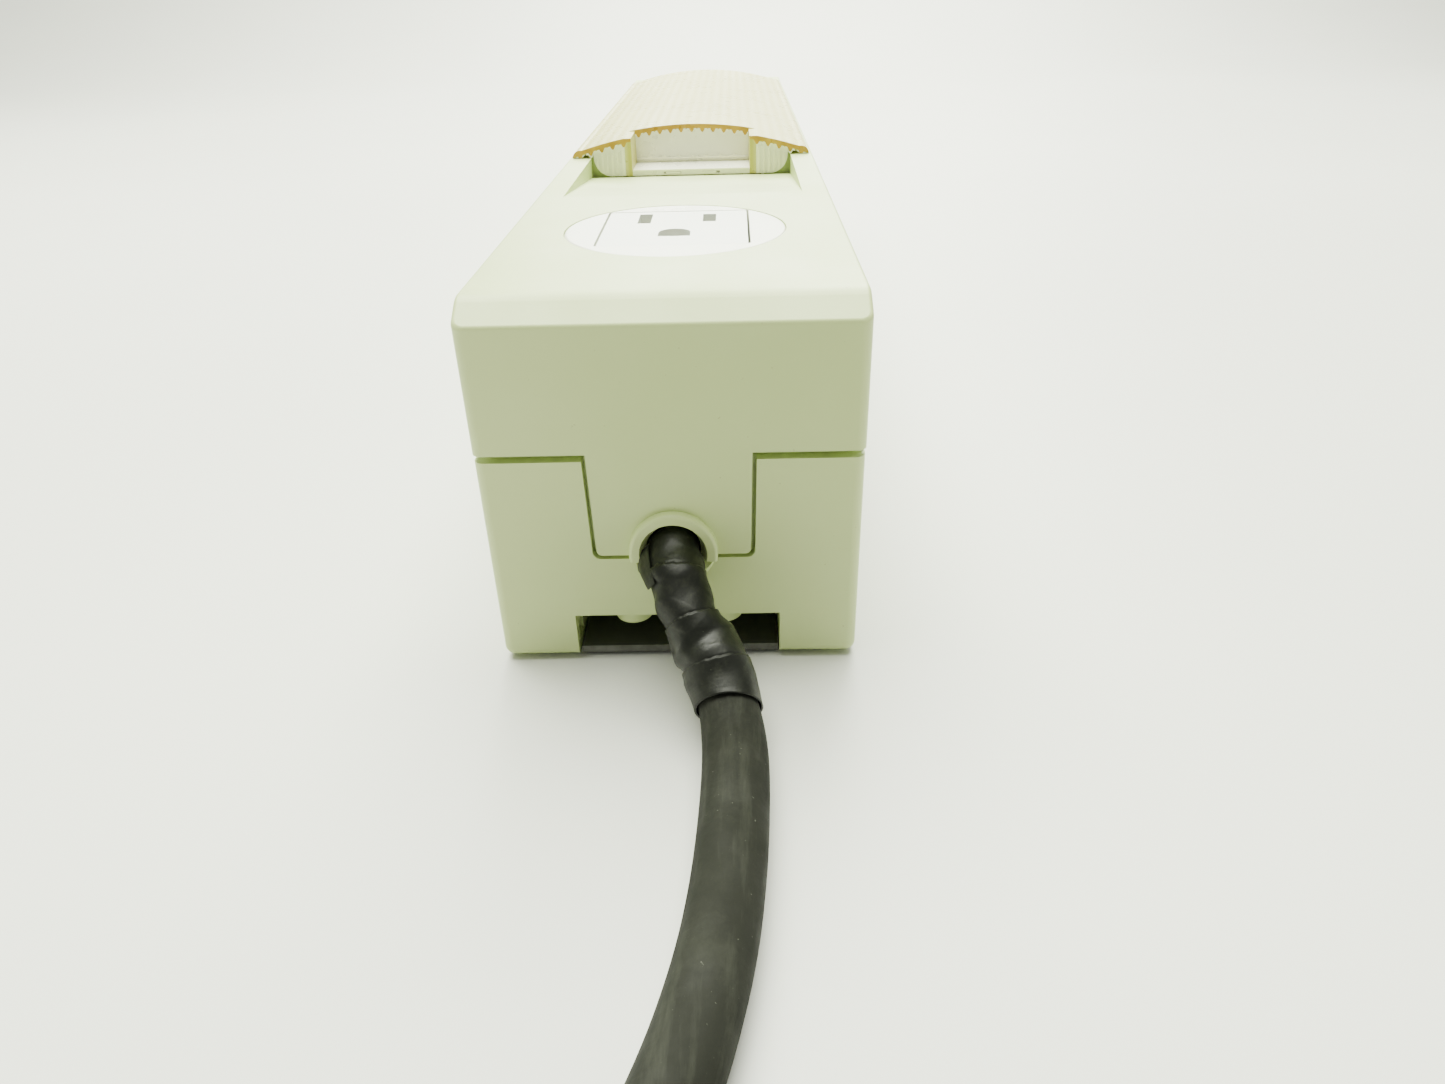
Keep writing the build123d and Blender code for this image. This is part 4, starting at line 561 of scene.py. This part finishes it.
def tape_radius(along, angle):
    """Radius of the wound tape: a thin stub, a step up to the jacket, lapped turns and folds."""
    core = STUB_WOUND + (JACKET_WOUND - STUB_WOUND) * smoothstep(JACKET_FROM, JACKET_FULL, along)
    core += LUMP_HEIGHT * math.exp(-(((along - LUMP_PLACE) / LUMP_WIDTH) ** 2))
    # each lap starts thick and thins out, and its edge wanders as hand winding does
    wander = 0.20 * math.cos(angle - 2.4) + 0.06 * math.sin(2 * angle + 1.1)
    lap = (along / TAPE_PITCH - angle / (2 * math.pi) + wander) % 1.0
    shingle = 0.40 * (1 - lap) ** 1.3 - 0.10 * smoothstep(0.955, 0.985, lap)
    # pulled tight and almost smooth towards its far end
    slack = 1.0 - 0.75 * smoothstep(26.0, 31.0, along)
    return core + shingle * (0.55 + 0.45 * slack) + wrinkle(along, angle) * slack


def around(frame_here, angle, radius, shift=0.0):
    """A point at this angle and radius about the cord, shifted along it."""
    _, point, side, up, tangent = frame_here
    return point + (side * math.cos(angle) + up * math.sin(angle)) * radius * MM + tangent * shift * MM


def add_flap(verts, faces, rows):
    """The torn corner that hangs from the first turn, as two sheets back to back."""
    for sheet in (0.0, FLAP_THICKNESS):
        first = len(verts)
        for i in range(FLAP_ROWS):
            across = i / (FLAP_ROWS - 1)
            row = rows[round(6 + 30 * across)]
            for j in range(FLAP_ROWS):
                down = j / (FLAP_ROWS - 1) * (1 - 0.55 * across)
                lift = 4.8 + 2.3 * down**1.3 * (1 - 0.7 * across) + sheet
                verts.append(around(row, 0.55 - 1.05 * down, lift))
        for i in range(FLAP_ROWS - 1):
            for j in range(FLAP_ROWS - 1):
                a = first + i * FLAP_ROWS + j
                quad = (a, a + 1, a + FLAP_ROWS + 1, a + FLAP_ROWS)
                faces.append(quad if sheet else quad[::-1])


def build_tape():
    """Vinyl tape wound in lapped turns over the stub and onto the jacket, with a loose torn flap."""
    verts, faces = [], []
    angles = [2 * math.pi * k / TAPE_AROUND for k in range(TAPE_AROUND)]
    rows = frames_along(resample(line, TAPE_STEP * MM, TAPE_START * MM, TAPE_END * MM))
    for row in rows:
        along = row[0] / MM
        lean = SLANT * smoothstep(SLANT_FROM, TAPE_END, along)
        for angle in angles:
            verts.append(around(row, angle, tape_radius(along, angle), -lean * math.cos(angle)))
    for row in range(len(rows) - 1):
        for k in range(TAPE_AROUND):
            a, b = row * TAPE_AROUND + k, row * TAPE_AROUND + (k + 1) % TAPE_AROUND
            faces.append((a, b, b + TAPE_AROUND, a + TAPE_AROUND))
    # both ends turn in to the cable
    for row, inner, lean in ((0, STUB_SKIN, 0.0), (len(rows) - 1, JACKET_SKIN, SLANT)):
        first = len(verts)
        for angle in angles:
            verts.append(around(rows[row], angle, inner, -lean * math.cos(angle)))
        for k in range(TAPE_AROUND):
            a, b = row * TAPE_AROUND + k, row * TAPE_AROUND + (k + 1) % TAPE_AROUND
            c, d = first + (k + 1) % TAPE_AROUND, first + k
            faces.append((a, b, c, d) if row else (a, d, c, b))
    add_flap(verts, faces, rows)
    return mesh_object("tape_winding", verts, faces, TAPE)


tape = build_tape()
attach(tape, "housing")
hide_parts("tape_wrap")


# ---- diffuser detail -------------------------------------------------------------------------------
GLOW_TEETH, TOOTH_STEPS = 19, 10
GLOW_EDGE = 26.5  # beyond this the skirt's corners have no painted glow
# where the painted glow under each rib sits and how tall it is
GLOW_FRONT, GLOW_BACK, GLOW_HEIGHT = -0.08, 0.3, 0.42
PANEL_RIBS = ((17.75, 0.7), (19.3, 0.35), (20.6, 0.5), (22.0, 0.35), (23.3, 0.55), (24.6, 0.4))  # x, width
RIB_OUT, RIB_SUNK, RIB_DROP = 0.14, 0.05, 2.6  # stands out of its panel, sinks in, ends below the crown
BAR_HALF = 15.3  # half width of the ledge and of the sill
LEDGE_OUT, LEDGE_SUNK, LEDGE_LOW, LEDGE_TOP = 0.45, 0.1, 63.5, 63.85
PIP_COUNT, PIP_PITCH, PIP_HALF, PIP_OUT, PIP_TOP = 7, 3.8, 0.3, 0.7, 64.35
# from the diffuser's near end and from the skirt's bottom: out, in, low, top
SILL_OUT, SILL_IN, SILL_LOW, SILL_TOP = 0.1, 0.35, 1.2, 1.45
CATCH_OUT, CATCH_IN, CATCH_LOW, CATCH_TOP = 0.12, 1.2, 0.42, 0.78
CATCH_X, CATCH_HALF = 4.75, 1.9


def add_box(verts, faces, low, high):
    """One box added to a mesh in the making."""
    first = len(verts)
    for z in (low[2], high[2]):
        for x, y in ((low[0], low[1]), (high[0], low[1]), (high[0], high[1]), (low[0], high[1])):
            verts.append((x * MM, y * MM, z * MM))
    for face in ((3, 2, 1, 0), (4, 5, 6, 7), (0, 1, 5, 4), (1, 2, 6, 5), (2, 3, 7, 6), (3, 0, 4, 7)):
        faces.append(tuple(first + k for k in face))


def add_tooth(verts, faces, right, front):
    """A painted glow under one rib: a thin bright strip from its right-hand side to its left."""
    first = len(verts)
    for k in range(TOOTH_STEPS + 1):
        share = 0.06 + 0.88 * k / TOOTH_STEPS
        x = right - share * RIB_PITCH
        dip = RIB_DEPTH * max(0.0, math.cos((share - 0.5) * 2 * math.pi))
        top = crown_z(x, LENS_SHELL) - dip
        low = top - GLOW_HEIGHT
        for y, z in ((GLOW_FRONT, top), (GLOW_FRONT, low), (GLOW_BACK, low), (GLOW_BACK, top)):
            verts.append((x * MM, (front + y) * MM, z * MM))
    for k in range(TOOTH_STEPS):
        for side in range(4):
            a, b = first + 4 * k + side, first + 4 * k + (side + 1) % 4
            faces.append((a, a + 4, b + 4, b))
    faces.append(tuple(first + side for side in range(4)))
    faces.append(tuple(first + 4 * TOOTH_STEPS + side for side in reversed(range(4))))


def build_rib_glow():
    """Painted glow of light through the ribs: bright scalloped strips under them, at the near end and at the
    back of the pocket.
    """
    verts, faces = [], []
    for tooth in range(GLOW_TEETH):
        right = (GLOW_TEETH / 2 - tooth) * RIB_PITCH
        middle = abs(right - 0.5 * RIB_PITCH)
        over_post = POCKET_HALF - 0.4 < middle < POST_OUTER + 0.6
        if over_post or middle > GLOW_EDGE:
            continue
        add_tooth(verts, faces, right, POCKET_BACK if middle < POCKET_HALF else LENS_START)
    return mesh_object("diffuser_rib_glow", verts, faces, PALE_AND_GLOW, smooth=False)


def panel_bottom(x):
    """Height of an end panel's lower edge, which turns up in a round corner."""
    reach = x - (SKIRT_HALF - END_CORNER)
    if reach <= 0:
        return SKIRT_BOTTOM + 0.25
    return SKIRT_BOTTOM + 0.2 + END_CORNER - math.sqrt(END_CORNER**2 - reach**2)


def build_end_ribs():
    """Fine upright ribs on the two end panels, the pocket's ledge and pips, its sill and its catches."""
    verts, faces = [], []
    for side in (-1, 1):
        for x, width in PANEL_RIBS:
            left, right = sorted((side * (x - width / 2), side * (x + width / 2)))
            low = (left, LENS_START - RIB_OUT, panel_bottom(x))
            add_box(verts, faces, low, (right, LENS_START + RIB_SUNK, crown_z(x, RIB_DROP)))
    back = POCKET_BACK + LEDGE_SUNK
    ledge_low = (-BAR_HALF, POCKET_BACK - LEDGE_OUT, LEDGE_LOW)
    add_box(verts, faces, ledge_low, (BAR_HALF, back, LEDGE_TOP))
    sill_low = (-BAR_HALF, LENS_START - SILL_OUT, SKIRT_BOTTOM + SILL_LOW)
    add_box(verts, faces, sill_low, (BAR_HALF, LENS_START + SILL_IN, SKIRT_BOTTOM + SILL_TOP))
    for k in range(PIP_COUNT):
        x = (k - (PIP_COUNT - 1) / 2) * PIP_PITCH
        low = (x - PIP_HALF, POCKET_BACK - PIP_OUT, LEDGE_TOP)
        add_box(verts, faces, low, (x + PIP_HALF, back, PIP_TOP))
    for x in (-CATCH_X, CATCH_X):
        low = (x - CATCH_HALF, LENS_START - CATCH_OUT, SKIRT_BOTTOM + CATCH_LOW)
        add_box(verts, faces, low, (x + CATCH_HALF, LENS_START + CATCH_IN, SKIRT_BOTTOM + CATCH_TOP))
    return mesh_object("diffuser_end_ribs", verts, faces, PALE_AND_GLOW, smooth=False)


for detail in (build_rib_glow(), build_end_ribs()):
    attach(detail, "diffuser")


# ---- plug ------------------------------------------------------------------------------------------
PLUG_FACE, PLUG_BACK = (corner[1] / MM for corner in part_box("plug_body"))
PLUG_X, _, PLUG_Z = TAIL_ROUTE[-1]
RING_POINTS = 64
RELIEF_LENGTH, RELIEF_STATIONS, RELIEF_RIBS = 20.0, 41, 6
RELIEF_RADIUS, RELIEF_FLARE, RELIEF_RIB = 5.35, 1.6, 0.495

# the grip, from the relief to the pin face: share of its length, half width, half height, squareness
GRIP = (
    (0.00, 8.4, 8.2, 2.2), (0.04, 10.6, 10.2, 2.6), (0.10, 12.2, 11.2, 3.2), (0.22, 12.6, 11.4, 3.6),
    (0.36, 12.0, 10.9, 3.8), (0.50, 11.6, 10.6, 4.0), (0.64, 12.0, 11.0, 4.2), (0.78, 13.0, 11.8, 4.6),
    (0.90, 13.5, 12.2, 5.0), (0.97, 13.4, 12.1, 5.2), (0.995, 13.0, 11.7, 5.2), (1.0, 12.4, 11.1, 5.2),
)


def rounded_ring(half_x, half_z, squareness):
    """Points round an oval in X and Z: 2 is an ellipse, and more is closer to a rectangle."""
    points = []
    for k in range(RING_POINTS):
        angle = 2 * math.pi * (k + 0.5) / RING_POINTS
        c, s = math.cos(angle), math.sin(angle)
        x = half_x * math.copysign(abs(c) ** (2.0 / squareness), c)
        z = half_z * math.copysign(abs(s) ** (2.0 / squareness), s)
        points.append((x, z))
    return points


def plug_stations():
    """The plug's cross-sections from the cable to the pin face: y, half width, half height, squareness."""
    stations = []
    for i in range(RELIEF_STATIONS):
        t = i / (RELIEF_STATIONS - 1)
        swing = 0.5 + 0.5 * math.cos(2 * math.pi * RELIEF_RIBS * t)
        rib = RELIEF_RIB * swing if 0.06 < t < 0.94 else 0.0
        radius = RELIEF_RADIUS + RELIEF_FLARE * t + rib
        stations.append((PLUG_BACK - RELIEF_LENGTH * t, radius, radius, 2.0))
    grip_start = PLUG_BACK - RELIEF_LENGTH
    for t, half_x, half_z, squareness in GRIP:
        stations.append((grip_start - (grip_start - PLUG_FACE) * t, half_x, half_z, squareness))
    return stations


def build_plug():
    """A moulded plug: ribbed taper over the cable, waisted grip and flat pin face."""
    verts, faces = [], []
    stations = plug_stations()
    for y, half_x, half_z, squareness in stations:
        for x, z in rounded_ring(half_x, half_z, squareness):
            verts.append(((PLUG_X + x) * MM, y * MM, (PLUG_Z + z) * MM))
    for row in range(len(stations) - 1):
        for k in range(RING_POINTS):
            a, b = row * RING_POINTS + k, row * RING_POINTS + (k + 1) % RING_POINTS
            faces.append((a, a + RING_POINTS, b + RING_POINTS, b))
    faces.append(tuple(range(RING_POINTS)))
    faces.append(tuple(len(verts) - RING_POINTS + k for k in reversed(range(RING_POINTS))))
    return mesh_object("plug_moulding", verts, faces, PLUG)


plug = build_plug()
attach(plug, "housing")
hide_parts("plug_body")
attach(cord, "housing")
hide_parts("cord_stub", "cord_lead", "cord_coil", "cord_tail")


# ---- floor and light -------------------------------------------------------------------------------
# metres, in this section only: the floor's ends, its half width, and the curve up to the backdrop
FLOOR_NEAR, FLOOR_FAR, FLOOR_HALF = -3.0, 0.8, 4.0
SWEEP_RADIUS, SWEEP_STEP, SWEEP_STEPS = 0.6, 7.5, 8
SKY_COLOUR, SKY_STRENGTH = (0.98, 1.0, 0.90), 0.42
LIGHT_TARGET = Vector((0, 0, 0.03))
LIGHTS = (
    ("key", (-0.1, 0.25, 1.1), 1.1, 74.0, (0.97, 1.0, 0.86)),
    ("back", (0.1, 1.25, 0.85), 0.9, 44.0, (0.97, 1.0, 0.88)),
)  # name, place, size, power in watts, colour


def build_floor():
    """A pale floor that curves up into a backdrop."""
    profile = [(FLOOR_NEAR, 0.0), (FLOOR_FAR, 0.0)]
    for k in range(1, SWEEP_STEPS + 1):
        angle = math.radians(SWEEP_STEP * k)
        rise = SWEEP_RADIUS * (1 - math.cos(angle))
        profile.append((FLOOR_FAR + SWEEP_RADIUS * math.sin(angle), rise))
    verts = [(side * FLOOR_HALF, y, z) for y, z in profile for side in (-1, 1)]
    faces = [(2 * k, 2 * k + 1, 2 * k + 3, 2 * k + 2) for k in range(len(profile) - 1)]
    material, tree, shader = new_material("floor_paper")
    paper = ramp(tree, noise(tree, 3.0), [(0.3, (0.68, 0.69, 0.64)), (0.7, (0.72, 0.73, 0.68))])
    tree.links.new(paper, shader.inputs["Base Color"])
    shader.inputs["Roughness"].default_value = 0.55
    mesh_object("floor", verts, faces, material)


def build_light():
    """An even sky and two soft lamps, above and behind."""
    world = bpy.data.worlds.new("studio")
    world.use_nodes = True
    background = world.node_tree.nodes["Background"]
    background.inputs["Color"].default_value = (*SKY_COLOUR, 1.0)
    background.inputs["Strength"].default_value = SKY_STRENGTH
    bpy.context.scene.world = world
    for name, place, size, power, colour in LIGHTS:
        data = bpy.data.lights.new(name, "AREA")
        data.size = size
        data.energy = power
        data.color = colour
        light = bpy.data.objects.new(name, data)
        light.location = place
        light.rotation_euler = (LIGHT_TARGET - Vector(place)).to_track_quat("-Z", "Y").to_euler()
        bpy.context.collection.objects.link(light)


build_floor()
build_light()
